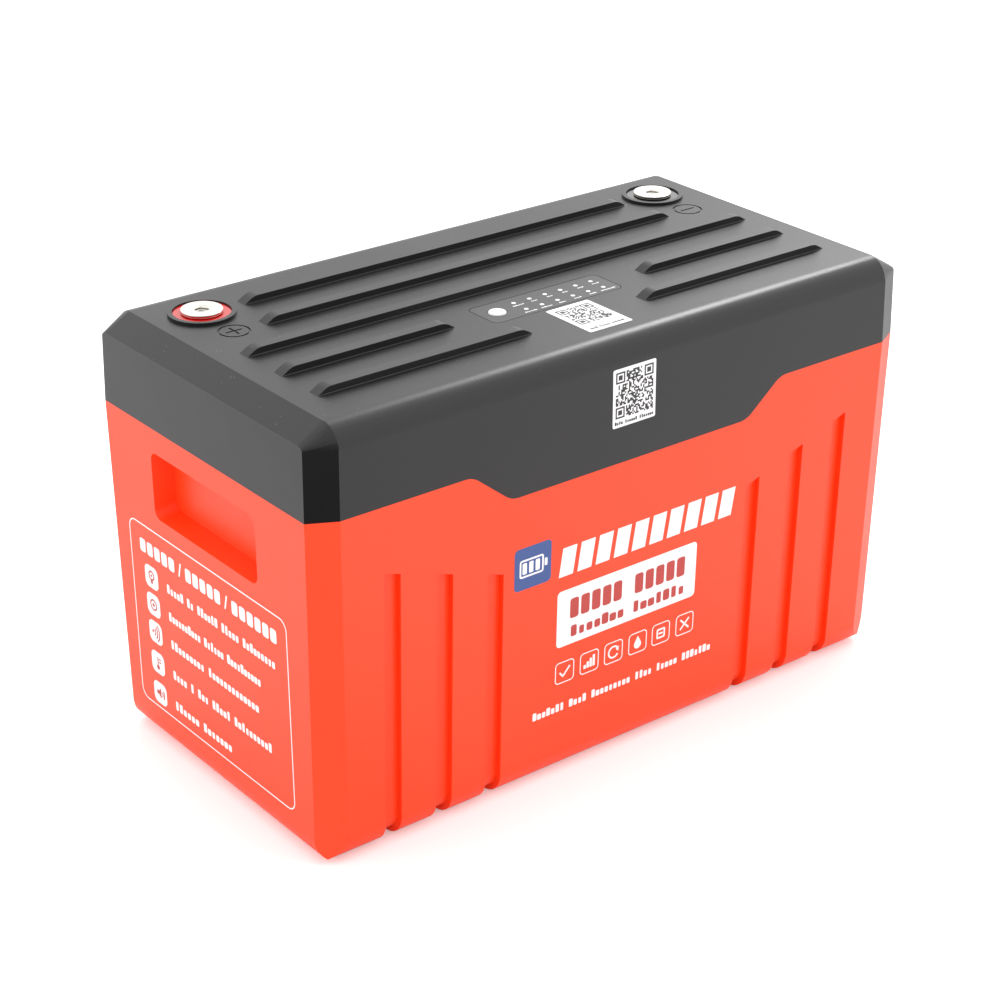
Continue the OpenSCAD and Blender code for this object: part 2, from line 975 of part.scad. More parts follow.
module end_plate_right() {
    end_plate(1);
}

module cell_straps() {
    length = stack_l + 2 * end_plate_t;
    color("silver")
        for (z = [0.37, 0.68])
            translate([0, cell_y, cell_z + cell_h * z - strap_h / 2])
                difference() {
                    linear_extrude(strap_h)
                        square([length + 2 * strap_t, cell_w + 2 * strap_t], center = true);
                    translate([0, 0, -1])
                        linear_extrude(strap_h + 2)
                            square([length, cell_w], center = true);
                }
}

// The foam stops short of the fillet inside the back wall
module bottom_pad() {
    pad_back = min(block_back, base_half_w - side_fillet - slip_gap);
    color("darkslategray")
        translate([-stack_l / 2 - end_plate_t, block_front, floor_t])
            cube([stack_l + 2 * end_plate_t, pad_back - block_front, pad_t]);
}

module end_pads() {
    pad_l = end_space + grip_depth - strap_t - 6;
    color("darkslategray")
        for (x = sides)
            translate([x * (stack_l / 2 + end_plate_t + strap_t + pad_l / 2), cell_y, cell_z])
                translate([-pad_l / 2, -cell_w / 2 + 10, 12])
                    cube([pad_l, cell_w - 20, grip_z - grip_h / 2 - wall - cell_z - 20]);
}

module post_ring(d) {
    translate([0, 0, -1])
        cylinder(h = link_rise + link_t + 2, d = d, $fn = 48);
}

module cell_links() {
    color("goldenrod")
        for (i = [0:cell_count - 2])
            let (side = i % 2 == 0 ? -1 : 1, first = cell_x(i), second = cell_x(i + 1))
                translate([(first + second) / 2, cell_y + side * post_pitch / 2, post_top])
                    difference() {
                        linear_extrude(link_t)
                            rounded_rect(second - first + link_w, link_w, 3);
                        for (x = sides)
                            translate([x * (second - first) / 2, 0, -1])
                                cylinder(h = link_t + 2, d = screw_d + 0.6, $fn = 48);
                    }
}

module at_posts() {
    for (i = [0:cell_count - 1], y = sides)
        translate([cell_x(i), cell_y + y * post_pitch / 2, 0])
            children();
}

module link_screws() {
    shank = link_t + post_h - 1;
    color("silver")
        at_posts() {
            translate([0, 0, post_top + link_t])
                cylinder(h = nut_h, d = nut_af / cos(30), $fn = 6);
            translate([0, 0, post_top + link_t - shank])
                cylinder(h = shank, d = screw_d, $fn = 48);
        }
}

module positive_link() {
    from = [cell_x(0), cell_y + post_pitch / 2];
    to = [-terminal_x, terminal_y];
    reach = norm(to - from);
    color("goldenrod")
        translate([from[0], from[1], post_top])
            rotate([0, 0, atan2(to[1] - from[1], to[0] - from[0])])
                difference() {
                    along_y(link_w - 2)
                        polygon([
                            [-link_w / 2, 0],
                            [reach * 0.34, 0],
                            [reach * 0.6, link_rise],
                            [reach + link_w / 2, link_rise],
                            [reach + link_w / 2, link_rise + link_t],
                            [reach * 0.6 - 1, link_rise + link_t],
                            [reach * 0.34 - 1, link_t],
                            [-link_w / 2, link_t]
                        ]);
                    post_ring(screw_d + 0.6);
                    translate([reach, 0, 0])
                        post_ring(thread_d + 0.2);
                }
}

/* Protection board */

module board_carrier() {
    color("whitesmoke") {
        translate([-carrier_l / 2, carrier_y, cell_z + cell_h / 2 - carrier_h / 2])
            cube([carrier_l, carrier_t, carrier_h]);
        at_bms_screws()
            rotate([90, 0, 0])
                cylinder(h = standoff + overlap, d = 8, $fn = 48);
    }
}

// The four corners of the protection board, on the carrier's front face
module at_bms_screws() {
    for (x = sides, z = sides)
        translate([bms_x + x * (bms_l / 2 - 6), carrier_y + overlap, bms_z + z * (bms_h / 2 - 6)])
            children();
}

module bms_board() {
    color("darkgreen")
        difference() {
            translate([bms_x - bms_l / 2, bms_y, bms_z - bms_h / 2])
                cube([bms_l, board_t, bms_h]);
            at_bms_screws()
                rotate([90, 0, 0])
                    cylinder(h = 20, d = 4.4, $fn = 32);
        }
}

module bms_screws() {
    color("silver")
        at_bms_screws()
            rotate([90, 0, 0]) {
                translate([0, 0, standoff + overlap])
                    cylinder(h = board_t, d = 4, $fn = 32);
                translate([0, 0, standoff + overlap + board_t])
                    cylinder(h = 2.4, d = 7, $fn = 32);
            }
}

function transistor_x(i) = bms_x - 60 + i * 13;

module bms_transistors() {
    color("black")
        for (i = [0:transistor_count - 1], z = [-1, 1])
            translate([transistor_x(i), bms_y - transistor_t, bms_z + z * 17 - 8])
                cube([10, transistor_t, 16]);
}

module bms_heatsink() {
    length = transistor_count * 13 + 4;
    height = 58;
    base_y = bms_y - transistor_t - sink_base;
    fins = 9;
    color("silver")
        translate([transistor_x(0) - 4, base_y, bms_z - height / 2]) {
            cube([length, sink_base, height]);
            for (i = [0:fins - 1])
                translate([0, -sink_fin, i * (height - 2) / (fins - 1)])
                    cube([length, sink_fin + overlap, 2]);
        }
}

module bms_connectors() {
    color("ivory") {
        translate([sense_x - 2, bms_y - 7, sense_z])
            cube([cell_count * sense_pitch + 4, 7, 8]);
        translate([22, bms_y - 6, bms_z + bms_h / 2 - 16])
            cube([14, 6, 8]);
    }
}

module at_bms_posts() {
    for (p = [post_b, post_p])
        translate([p[0], bms_y, p[1]])
            rotate([90, 0, 0])
                children();
}

module bms_posts() {
    color("goldenrod")
        at_bms_posts() {
            cylinder(h = 3, d = 14, $fn = 64);
            cylinder(h = 12, d = screw_d, $fn = 48);
        }
}

module bms_nuts() {
    color("silver")
        at_bms_posts()
            translate([0, 0, 3 + link_t])
                hex_nut(nut_af, nut_h, screw_d + 0.2);
}

module wireless_module() {
    color("mediumseagreen")
        translate([bms_x - bms_l / 2 + 16, bms_y, bms_z + 10]) {
            translate([0, -1, 0])
                cube([16, 1, 24]);
            translate([2, -3, 2])
                cube([12, 2.5, 14]);
        }
}

/* Wiring */

// Rounds a route's corners by cutting them twice
function cut_corners(p) = concat(
    [p[0]],
    [for (i = [0:len(p) - 2]) each [0.75 * p[i] + 0.25 * p[i + 1], 0.25 * p[i] + 0.75 * p[i + 1]]],
    [p[len(p) - 1]]
);

// Round tube along a route; the route never runs along the reference direction
module tube(route, d, count) {
    p = cut_corners(cut_corners(route));
    n = len(p);
    reference = [0.6, -0.75, -0.25];
    points = [
        for (i = [0:n - 1])
            let (
                along = p[min(i + 1, n - 1)] - p[max(i - 1, 0)],
                side = cross(along, reference) / norm(cross(along, reference)),
                up = cross(side, along) / norm(cross(side, along))
            )
                for (k = [0:count - 1])
                    p[i] + d / 2 * (cos(360 * k / count) * side + sin(360 * k / count) * up)
    ];
    walls = [
        for (i = [0:n - 2], k = [0:count - 1])
            let (next = (k + 1) % count)
                [i * count + k, i * count + next, (i + 1) * count + next, (i + 1) * count + k]
    ];
    start = [for (k = [count - 1:-1:0]) k];
    finish = [for (k = [0:count - 1]) (n - 1) * count + k];
    polyhedron(points, concat(walls, [finish, start]), convexity = 6);
}

module supply_cable() {
    start = terminal_y - lug_d / 2 - lug_l / 2;
    color("black")
        tube([
            [terminal_x, start, lug_z + barrel_rise],
            [terminal_x, 0, lug_z + barrel_rise],
            [terminal_x, block_front + 4, lug_z + barrel_rise],
            [terminal_x - 2, cable_y - 13, lug_z - 10],
            [terminal_x - 20, cable_y - 11, post_p[1] + 30],
            [terminal_x - 30, cable_y, post_p[1]],
            [post_p[0] + lug_d / 2 + lug_l / 2, cable_y, post_p[1]]
        ], cable_d, 12);
}

module pack_cable() {
    x = cell_x(cell_count - 1);
    start = cell_y + post_pitch / 2 - lug_d / 2 - lug_l / 2;
    color("black")
        tube([
            [x, start, post_top + barrel_rise],
            [x, start - 10, post_top + barrel_rise],
            [x, start - 22, post_top + 13],
            [x, block_front + 10, post_top + 13],
            [x - 2, cable_y, post_top + 6],
            [x - 12, cable_y, post_b[1] + 14],
            [x - 18, cable_y, post_b[1]],
            [post_b[0] + lug_d / 2 + lug_l / 2, cable_y, post_b[1]]
        ], cable_d, 12);
}

// Ring and barrel of a cable lug, the barrel pointing along +X
module lug(hole) {
    difference() {
        union() {
            cylinder(h = link_t, d = lug_d, $fn = 64);
            translate([0, -5, 0])
                cube([lug_d / 2 + 2, 10, link_t]);
        }
        translate([0, 0, -1])
            cylinder(h = 4, d = hole, $fn = 48);
    }
    translate([lug_d / 2, 0, barrel_rise])
        rotate([0, 90, 0])
            difference() {
                cylinder(h = lug_l, d = cable_d + 3, $fn = 48);
                translate([0, 0, 2])
                    cylinder(h = lug_l, d = cable_d + 0.4, $fn = 48);
            }
}

module cable_lugs() {
    color("goldenrod") {
        translate([terminal_x, terminal_y, lug_z])
            rotate([0, 0, -90])
                lug(thread_d + 0.2);
        translate([cell_x(cell_count - 1), cell_y + post_pitch / 2, post_top])
            rotate([0, 0, -90])
                lug(screw_d + 0.4);
        for (p = [post_b, post_p])
            translate([p[0], bms_y - 3, p[1]])
                rotate([90, 0, 0])
                    lug(screw_d + 0.4);
    }
}

module sense_wires() {
    lane = block_front + 1.5;
    lift = post_top + link_t + wire_d / 2 + 0.1;
    tag_gap = 7.6;
    side_count = cell_count / 2;
    front_tag = cell_y - post_pitch / 2 - tag_gap;
    lane_step = min(3, (front_tag - 6 - lane) / side_count);
    color("orangered")
        for (i = [0:cell_count])
            let (
                at_end = i == 0 || i == cell_count,
                side = sign(i - side_count),
                back = at_end || i % 2 == 0,
                x = at_end ? cell_x(i == 0 ? 0 : cell_count - 1) : (cell_x(i - 1) + cell_x(i)) / 2,
                run_x = x + (at_end ? side * 14 : 0),
                y = cell_y + (back ? 1 : -1) * post_pitch / 2,
                beside_lug = i == cell_count,
                start = beside_lug ? [x + tag_gap, y, lift] : [x, y - tag_gap, lift],
                bend = beside_lug ? [x + tag_gap + 4, y - 2, lift] : [x, y - tag_gap - 4, lift],
                pin_x = sense_x + i * sense_pitch,
                own_lane = lane + lane_step * (side_count - abs(i - side_count)),
                drop_y = max(y - tag_gap - (at_end ? 14 : 7), own_lane + 1.5)
            )
                tube([
                    start,
                    bend,
                    [run_x, drop_y, wire_z],
                    [run_x, own_lane, wire_z],
                    [pin_x, own_lane, wire_z],
                    [pin_x, block_front - 6, wire_z],
                    [pin_x, bms_y - 3.5, wire_z - 8],
                    [pin_x, bms_y - 3.5, sense_z + 8]
                ], wire_d, 6);
}

module temperature_probes() {
    bead = [6, 9, 2.4];
    for (side = sides)
        let (x = side * (2 * (cell_t + sheet_t) - 4.4), board_x = bms_x + side * 0.35 * bms_l) {
            color("white")
                translate([x - bead[0] / 2, cell_y, can_top + plate_t])
                    cube(bead);
            color("black")
                tube([
                    [x, cell_y + 1, can_top + plate_t + bead[2] / 2],
                    [x, cell_y - 6, wire_z + 1],
                    [x, cell_y - 20, wire_z + 2.2],
                    [x, block_front + 2, wire_z + 2.2],
                    [x, block_front - 4, wire_z + 2.2],
                    [board_x, bms_y - 2, wire_z - 12],
                    [board_x, bms_y - 2, bms_z + bms_h / 2 - 8]
                ], 2, 8);
        }
}

case();
cover();
cover_seal();
positive_terminal();
negative_terminal();
positive_ring();
negative_ring();
terminal_seals();
terminal_washers();
terminal_nuts();
terminal_screws();
indicator_film();
indicator_lenses();
state_button();
switch_plunger();
switch_dome();
switch_housing();
display_board();
display_leds();
display_screws();
buzzer();
display_cable();
deck_label();
side_label();
cell(0);  // cell_1
cell(1);  // cell_2
cell(2);  // cell_3
cell(3);  // cell_4
cell(4);  // cell_5
cell(5);  // cell_6
cell(6);  // cell_7
cell(7);  // cell_8
cell_sheets();
cell_top_plate();
end_plate_left();
end_plate_right();
cell_straps();
bottom_pad();
end_pads();
cell_links();
link_screws();
positive_link();
board_carrier();
bms_board();
bms_transistors();
bms_heatsink();
bms_connectors();
bms_screws();
bms_posts();
bms_nuts();
wireless_module();
supply_cable();
pack_cable();
cable_lugs();
sense_wires();
temperature_probes();
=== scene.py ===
"""Looks of a deep cycle battery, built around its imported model.

The housing, terminals, indicator and inner parts come from the frame and keep their places.
This script gives each of them its finish, adds the printed graphics, label patterns, threaded
studs and indicator marks, and sets a plain studio round the whole. All lengths are in metres.
"""

from __future__ import annotations

import functools
import json
import logging
import math
import random
from collections.abc import Callable, Iterable, Sequence
from dataclasses import dataclass, field
from enum import Enum

import bpy
from mathutils import Matrix, Vector

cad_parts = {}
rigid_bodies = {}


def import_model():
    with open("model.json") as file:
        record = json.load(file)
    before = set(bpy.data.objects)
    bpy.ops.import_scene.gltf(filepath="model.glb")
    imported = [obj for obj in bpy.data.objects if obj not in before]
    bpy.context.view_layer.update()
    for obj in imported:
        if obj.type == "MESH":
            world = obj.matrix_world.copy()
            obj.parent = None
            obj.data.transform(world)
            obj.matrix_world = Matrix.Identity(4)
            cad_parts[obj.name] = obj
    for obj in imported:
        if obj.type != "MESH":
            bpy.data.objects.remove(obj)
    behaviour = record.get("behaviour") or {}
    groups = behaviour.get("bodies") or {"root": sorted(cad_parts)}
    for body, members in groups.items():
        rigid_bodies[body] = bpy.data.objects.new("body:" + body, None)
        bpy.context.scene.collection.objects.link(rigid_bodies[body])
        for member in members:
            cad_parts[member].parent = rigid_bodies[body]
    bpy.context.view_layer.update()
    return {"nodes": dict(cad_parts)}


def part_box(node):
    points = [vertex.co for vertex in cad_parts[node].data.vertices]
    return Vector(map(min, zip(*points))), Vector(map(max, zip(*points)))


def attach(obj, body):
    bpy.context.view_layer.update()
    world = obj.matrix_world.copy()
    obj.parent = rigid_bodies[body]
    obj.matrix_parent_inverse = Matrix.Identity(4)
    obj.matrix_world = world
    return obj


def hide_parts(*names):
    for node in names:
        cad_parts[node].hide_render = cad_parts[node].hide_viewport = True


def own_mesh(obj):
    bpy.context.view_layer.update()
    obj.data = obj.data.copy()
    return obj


for leftover in list(bpy.data.objects):
    bpy.data.objects.remove(leftover)
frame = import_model()

LOG = logging.getLogger("battery")
MM = 0.001
BODY = "battery"
BUTTON = "button"
MIX_COLOUR_INPUTS = (0, 6, 7)
MIX_COLOUR_RESULT = 2
FLOAT_SOCKET = "NodeSocketFloat"
RIGHT = Vector((1.0, 0.0, 0.0))
BACK = Vector((0.0, 1.0, 0.0))

Colour = tuple[float, float, float]
Point2 = tuple[float, float]
Outline = list[Point2]


# ---------------------------------------------------------------- shader building


class Graph:
    """Adds nodes to one node tree and joins them."""

    def __init__(self, tree: bpy.types.NodeTree) -> None:
        """Keeps the tree that the nodes go into.

        Args:
            tree: The node tree of a material, a world or a node group.
        """
        self.tree = tree

    def feed(self, node: bpy.types.Node, socket: str | int, value: object) -> None:
        """Joins a socket to a node's input, or sets the input's own value.

        Args:
            node: The node that takes the value.
            socket: The input's name or number.
            value: Another node's output socket, or a plain value.
        """
        target = node.inputs[socket]
        if isinstance(value, bpy.types.NodeSocket):
            self.tree.links.new(value, target)
        elif isinstance(value, tuple) and len(value) == 3 and target.type == "RGBA":
            target.default_value = (*value, 1.0)
        else:
            target.default_value = value

    def fill(self, node: bpy.types.Node, **inputs: object) -> None:
        """Feeds several inputs of a node; an underscore in a name stands for a space."""
        for name, value in inputs.items():
            self.feed(node, name.replace("_", " "), value)

    def add(
        self, kind: str, settings: dict[str, object] | None = None, **inputs: object
    ) -> bpy.types.Node:
        """Makes a node.

        Args:
            kind: The node's type name, without the leading "ShaderNode".
            settings: Properties of the node itself.
            **inputs: Values for inputs; an underscore in a name stands for a space.

        Returns:
            The new node.
        """
        node = self.tree.nodes.new("ShaderNode" + kind)
        for name, value in (settings or {}).items():
            setattr(node, name, value)
        self.fill(node, **inputs)
        return node

    def math(self, operation: str, first: object, second: object = 0.0) -> bpy.types.NodeSocket:
        """Makes a Math node and gives back its result.

        Args:
            operation: The Math node's operation.
            first: The first value or socket.
            second: The second value or socket.

        Returns:
            The result socket.
        """
        node = self.add("Math", {"operation": operation})
        self.feed(node, 0, first)
        self.feed(node, 1, second)
        return node.outputs[0]

    def remap(
        self, value: object, low: object, high: object, to_low: float, to_high: float
    ) -> bpy.types.NodeSocket:
        """Maps one range of values on another, kept inside it.

        Args:
            value: The socket to map.
            low: Where the first range starts.
            high: Where the first range ends.
            to_low: What low becomes.
            to_high: What high becomes.

        Returns:
            The mapped socket.
        """
        node = self.add(
            "MapRange", {"clamp": True},
            Value=value, From_Min=low, From_Max=high, To_Min=to_low, To_Max=to_high,
        )
        return node.outputs["Result"]

    def blend(self, factor: object, first: object, second: object) -> bpy.types.NodeSocket:
        """Mixes two colours.

        Args:
            factor: How much of the second colour shows.
            first: The first colour or socket.
            second: The second colour or socket.

        Returns:
            The mixed colour's socket.
        """
        node = self.add("Mix", {"data_type": "RGBA"})
        for socket, value in zip(MIX_COLOUR_INPUTS, (factor, first, second)):
            self.feed(node, socket, value)
        return node.outputs[MIX_COLOUR_RESULT]

    def group(self, tree: bpy.types.NodeTree, **inputs: object) -> bpy.types.Node:
        """Places a shared node group.

        Args:
            tree: The group.
            **inputs: Values for the group's inputs; an underscore stands for a space.

        Returns:
            The group node.
        """
        return self.add("Group", {"node_tree": tree}, **inputs)


class SharedEffects:
    """The node groups that several finishes use, each made once."""

    def _start(
        self, name: str, inputs: dict[str, float], outputs: Sequence[str]
    ) -> tuple[Graph, bpy.types.Node, bpy.types.Node]:
        """Opens a new group with its sockets.

        Args:
            name: The group's name.
            inputs: Each float input's name and default.
            outputs: The names of the float outputs.

        Returns:
            The graph, the group's input node and its output node.
        """
        tree = bpy.data.node_groups.new(name, "ShaderNodeTree")
        for side, labels in (("INPUT", inputs), ("OUTPUT", outputs)):
            for label in labels:
                socket = tree.interface.new_socket(
                    name=label, in_out=side, socket_type=FLOAT_SOCKET
                )
                if side == "INPUT":
                    socket.default_value = inputs[label]
        return Graph(tree), tree.nodes.new("NodeGroupInput"), tree.nodes.new("NodeGroupOutput")

    @functools.cache
    def moulded_grain(self) -> bpy.types.NodeTree:
        """Gives the group of the fine spark-eroded grain on moulded plastic."""
        graph, given, result = self._start(
            "moulded_grain", {"Grains per metre": 2500.0}, ("Height", "Dimple")
        )
        place = graph.add("TexCoord").outputs["Object"]
        per_metre = given.outputs["Grains per metre"]
        fine = graph.add("TexNoise", Vector=place, Scale=per_metre, Detail=3.0, Roughness=0.6)
        pits = graph.add("TexVoronoi", Vector=place, Scale=graph.math("MULTIPLY", per_metre, 0.6))
        dimple = graph.remap(pits.outputs["Distance"], 0.0, 0.7, 0.0, 1.0)
        height = graph.math(
            "ADD",
            graph.math("MULTIPLY", fine.outputs["Fac"], 0.7),
            graph.math("MULTIPLY", dimple, 0.3),
        )
        graph.fill(result, Height=height, Dimple=dimple)
        return graph.tree

    @functools.cache
    def slow_mottle(self) -> bpy.types.NodeTree:
        """Gives the group of a slow, cloudy change over a surface."""
        graph, given, result = self._start("slow_mottle", {"Clouds per metre": 12.0}, ("Mask",))
        place = graph.add("TexCoord").outputs["Object"]
        cloud = graph.add(
            "TexNoise",
            Vector=place,
            Scale=given.outputs["Clouds per metre"],
            Detail=4.0,
            Roughness=0.55,
        )
        graph.feed(result, "Mask", graph.remap(cloud.outputs["Fac"], 0.3, 0.7, 0.0, 1.0))
        return graph.tree

    @functools.cache
    def edge_rub(self) -> bpy.types.NodeTree:
        """Gives the group that finds convex edges and breaks them up like handling wear."""
        graph, given, result = self._start("edge_rub", {"Start": 0.52, "Full": 0.62}, ("Mask",))
        edge = graph.add("NewGeometry").outputs["Pointiness"]
        place = graph.add("TexCoord").outputs["Object"]
        chips = graph.add("TexNoise", Vector=place, Scale=240.0, Detail=5.0, Roughness=0.7)
        spread = graph.remap(edge, given.outputs["Start"], given.outputs["Full"], 0.0, 1.0)
        left = graph.remap(chips.outputs["Fac"], 0.35, 0.65, 0.2, 1.0)
        graph.feed(result, "Mask", graph.math("MULTIPLY", spread, left))
        return graph.tree

    @functools.cache
    def settled_dust(self) -> bpy.types.NodeTree:
        """Gives the group of sparse specks that settle on faces that look up."""
        graph, given, result = self._start("settled_dust", {"Specks per metre": 500.0}, ("Mask",))
        place = graph.add("TexCoord").outputs["Object"]
        specks = graph.add("TexVoronoi", Vector=place, Scale=given.outputs["Specks per metre"])
        thin = graph.add("TexNoise", Vector=place, Scale=90.0, Detail=2.0)
        facing = graph.add(
            "SeparateXYZ", Vector=graph.add("NewGeometry").outputs["Normal"]
        ).outputs["Z"]
        dot = graph.remap(specks.outputs["Distance"], 0.06, 0.12, 1.0, 0.0)
        some = graph.remap(thin.outputs["Fac"], 0.6, 0.66, 0.0, 1.0)
        upward = graph.remap(facing, 0.6, 0.95, 0.0, 1.0)
        graph.feed(
            result, "Mask", graph.math("MULTIPLY", graph.math("MULTIPLY", dot, some), upward)
        )
        return graph.tree

    @functools.cache
    def drawn_lines(self) -> bpy.types.NodeTree:
        """Gives the group of fine parallel lines, as on rolled or brushed metal."""
        graph, given, result = self._start(
            "drawn_lines", {"Lines per metre": 3000.0, "Length ratio": 0.03}, ("Height",)
        )
        place = graph.add("TexCoord").outputs["Object"]
        axes = graph.add("SeparateXYZ", Vector=place)
        long = graph.math("MULTIPLY", axes.outputs["Z"], given.outputs["Length ratio"])
        squeezed = graph.add("CombineXYZ", X=axes.outputs["X"], Y=axes.outputs["Y"], Z=long)
        lines = graph.add(
            "TexNoise",
            Vector=squeezed.outputs[0],
            Scale=given.outputs["Lines per metre"],
            Detail=2.0,
        )
        graph.feed(result, "Height", lines.outputs["Fac"])
        return graph.tree

    @functools.cache
    def turned_rings(self) -> bpy.types.NodeTree:
        """Gives the group of concentric tool marks round a vertical axis."""
        graph, given, result = self._start(
            "turned_rings",
            {"Centre X": 0.0, "Centre Y": 0.0, "Rings per metre": 9000.0},
            ("Height",),
        )
        axes = graph.add("SeparateXYZ", Vector=graph.add("TexCoord").outputs["Object"])
        across = graph.math("SUBTRACT", axes.outputs["X"], given.outputs["Centre X"])
        along = graph.math("SUBTRACT", axes.outputs["Y"], given.outputs["Centre Y"])
        squares = graph.math(
            "ADD", graph.math("POWER", across, 2.0), graph.math("POWER", along, 2.0)
        )
        radius = graph.math("SQRT", squares)
        rings = graph.add("TexNoise", {"noise_dimensions": "1D"}, Detail=3.0)
        graph.fill(rings, W=radius, Scale=given.outputs["Rings per metre"])
        graph.feed(result, "Height", rings.outputs["Fac"])
        return graph.tree

    @functools.cache
    def board_tracks(self) -> bpy.types.NodeTree:
        """Gives the group of copper tracks and pads under a board's lacquer."""
        graph, given, result = self._start(
            "board_tracks", {"Tracks per metre": 260.0}, ("Track", "Pad")
        )
        place = graph.add("TexCoord").outputs["Object"]
        grid = graph.add(
            "TexBrick", {"offset": 0.37, "squash": 0.6}, Scale=given.outputs["Tracks per metre"]
        )
        turned = graph.add("Mapping", Vector=place)
        turned.inputs["Rotation"].default_value = (math.pi / 2, 0.0, 0.0)
        graph.fill(grid, Vector=turned.outputs[0], Mortar_Size=0.06)
        pads = graph.add(
            "TexVoronoi",
            Vector=place,
            Scale=graph.math("MULTIPLY", given.outputs["Tracks per metre"], 0.9),
        )
        graph.fill(
            result,
            Track=grid.outputs["Fac"],
            Pad=graph.remap(pads.outputs["Distance"], 0.14, 0.18, 1.0, 0.0),
        )
        return graph.tree


EFFECTS = SharedEffects()


# ---------------------------------------------------------------- finishes


def shell_of(name: str) -> tuple[bpy.types.Material, Graph, bpy.types.Node]:
    """Makes an empty node material.

    Args:
        name: The material's name.

    Returns:
        The material, its graph and its Principled node.
    """
    material = bpy.data.materials.new(name)
    material.use_nodes = True
    graph = Graph(material.node_tree)
    shader = material.node_tree.nodes["Principled BSDF"]
    return material, graph, shader


def bump(
    graph: Graph, height: bpy.types.NodeSocket, depth: float, strength: float = 1.0
) -> bpy.types.NodeSocket:
    """Makes a Bump node.

    Args:
        graph: The graph of the material.
        height: The height's socket.
        depth: What a height of 1 is, in metres.
        strength: The Bump node's strength.

    Returns:
        The normal's socket.
    """
    return graph.add("Bump", Strength=strength, Distance=depth, Height=height).outputs["Normal"]


@dataclass(frozen=True)
class MouldedPlastic:
    """Moulded plastic with a fine grain, a slow change of tone, and rubbed edges or dust."""

    name: str
    colour: Colour
    roughness: float = 0.45
    grains_per_metre: float = 2600.0
    grain_depth: float = 0.00003
    tone_shift: float = 0.1
    rub_colour: Colour = (0.6, 0.6, 0.6)
    rub: float = 0.15
    dust: float = 0.0
    coat: float = 0.0
    clouds_per_metre: float = 9.0
    rough_spread: float = 0.04
    dust_colour: Colour = (0.6, 0.6, 0.58)

    def build(self) -> bpy.types.Material:
        """Makes the material."""
        material, graph, shader = shell_of(self.name)
        grain = graph.group(EFFECTS.moulded_grain(), Grains_per_metre=self.grains_per_metre)
        mottle = graph.group(EFFECTS.slow_mottle(), Clouds_per_metre=self.clouds_per_metre)
        cloud = mottle.outputs["Mask"]
        darker = tuple(value * (1.0 - self.tone_shift) for value in self.colour)
        base = graph.blend(cloud, darker, self.colour)
        base = graph.blend(
            graph.math("MULTIPLY", grain.outputs["Dimple"], self.tone_shift), base, darker
        )
        if self.rub:
            worn = graph.group(EFFECTS.edge_rub()).outputs["Mask"]
            base = graph.blend(graph.math("MULTIPLY", worn, self.rub), base, self.rub_colour)
        if self.dust:
            specks = graph.group(EFFECTS.settled_dust()).outputs["Mask"]
            base = graph.blend(graph.math("MULTIPLY", specks, self.dust), base, self.dust_colour)
        smooth, dull = self.roughness - self.rough_spread, self.roughness + self.rough_spread
        graph.fill(
            shader,
            Base_Color=base,
            Roughness=graph.remap(cloud, 0.0, 1.0, smooth, dull),
            Normal=bump(graph, grain.outputs["Height"], self.grain_depth),
            Coat_Weight=self.coat,
        )
        return material


@dataclass(frozen=True)
class WorkedMetal:
    """Bare or plated metal with drawn lines or turning marks and a little tarnish."""

    name: str
    colour: Colour
    roughness: float = 0.25
    tarnish: Colour = (0.3, 0.27, 0.22)
    tarnish_share: float = 0.15
    mark_depth: float = 0.000008
    turned_about: Point2 | None = None
    rings_per_metre: float = 5200.0
    lines_per_metre: float = 2600.0
    line_squeeze: float = 0.04
    clouds_per_metre: float = 70.0

    def build(self) -> bpy.types.Material:
        """Makes the material."""
        material, graph, shader = shell_of(self.name)
        if self.turned_about:
            centre_x, centre_y = self.turned_about
            marks = graph.group(
                EFFECTS.turned_rings(),
                Centre_X=centre_x, Centre_Y=centre_y, Rings_per_metre=self.rings_per_metre,
            )
        else:
            marks = graph.group(
                EFFECTS.drawn_lines(),
                Lines_per_metre=self.lines_per_metre, Length_ratio=self.line_squeeze,
            )
        height = marks.outputs["Height"]
        mottle = graph.group(EFFECTS.slow_mottle(), Clouds_per_metre=self.clouds_per_metre)
        cloud = mottle.outputs["Mask"]
        stained = graph.blend(
            graph.math("MULTIPLY", cloud, self.tarnish_share), self.colour, self.tarnish
        )
        graph.fill(
            shader,
            Base_Color=stained,
            Metallic=1.0,
            Roughness=graph.remap(height, 0.3, 0.7, self.roughness * 0.8, self.roughness * 1.35),
            Normal=bump(graph, height, self.mark_depth),
        )
        return material


@dataclass(frozen=True)
class PrintedInk:
    """Screen-printed ink, slightly uneven in cover."""

    name: str
    colour: Colour
    roughness: float = 0.5
    unevenness: float = 0.06
    grain_depth: float = 0.00001
    rough_spread: float = 0.06

    def build(self) -> bpy.types.Material:
        """Makes the material."""
        material, graph, shader = shell_of(self.name)
        grain = graph.group(EFFECTS.moulded_grain(), Grains_per_metre=3600.0)
        cloud = graph.group(EFFECTS.slow_mottle(), Clouds_per_metre=60.0).outputs["Mask"]
        thin = tuple(value * (1.0 - self.unevenness) for value in self.colour)
        smooth, dull = self.roughness - self.rough_spread, self.roughness + self.rough_spread
        graph.fill(
            shader,
            Base_Color=graph.blend(cloud, self.colour, thin),
            Roughness=graph.remap(grain.outputs["Height"], 0.3, 0.7, smooth, dull),
            Normal=bump(graph, grain.outputs["Height"], self.grain_depth),
        )
        return material


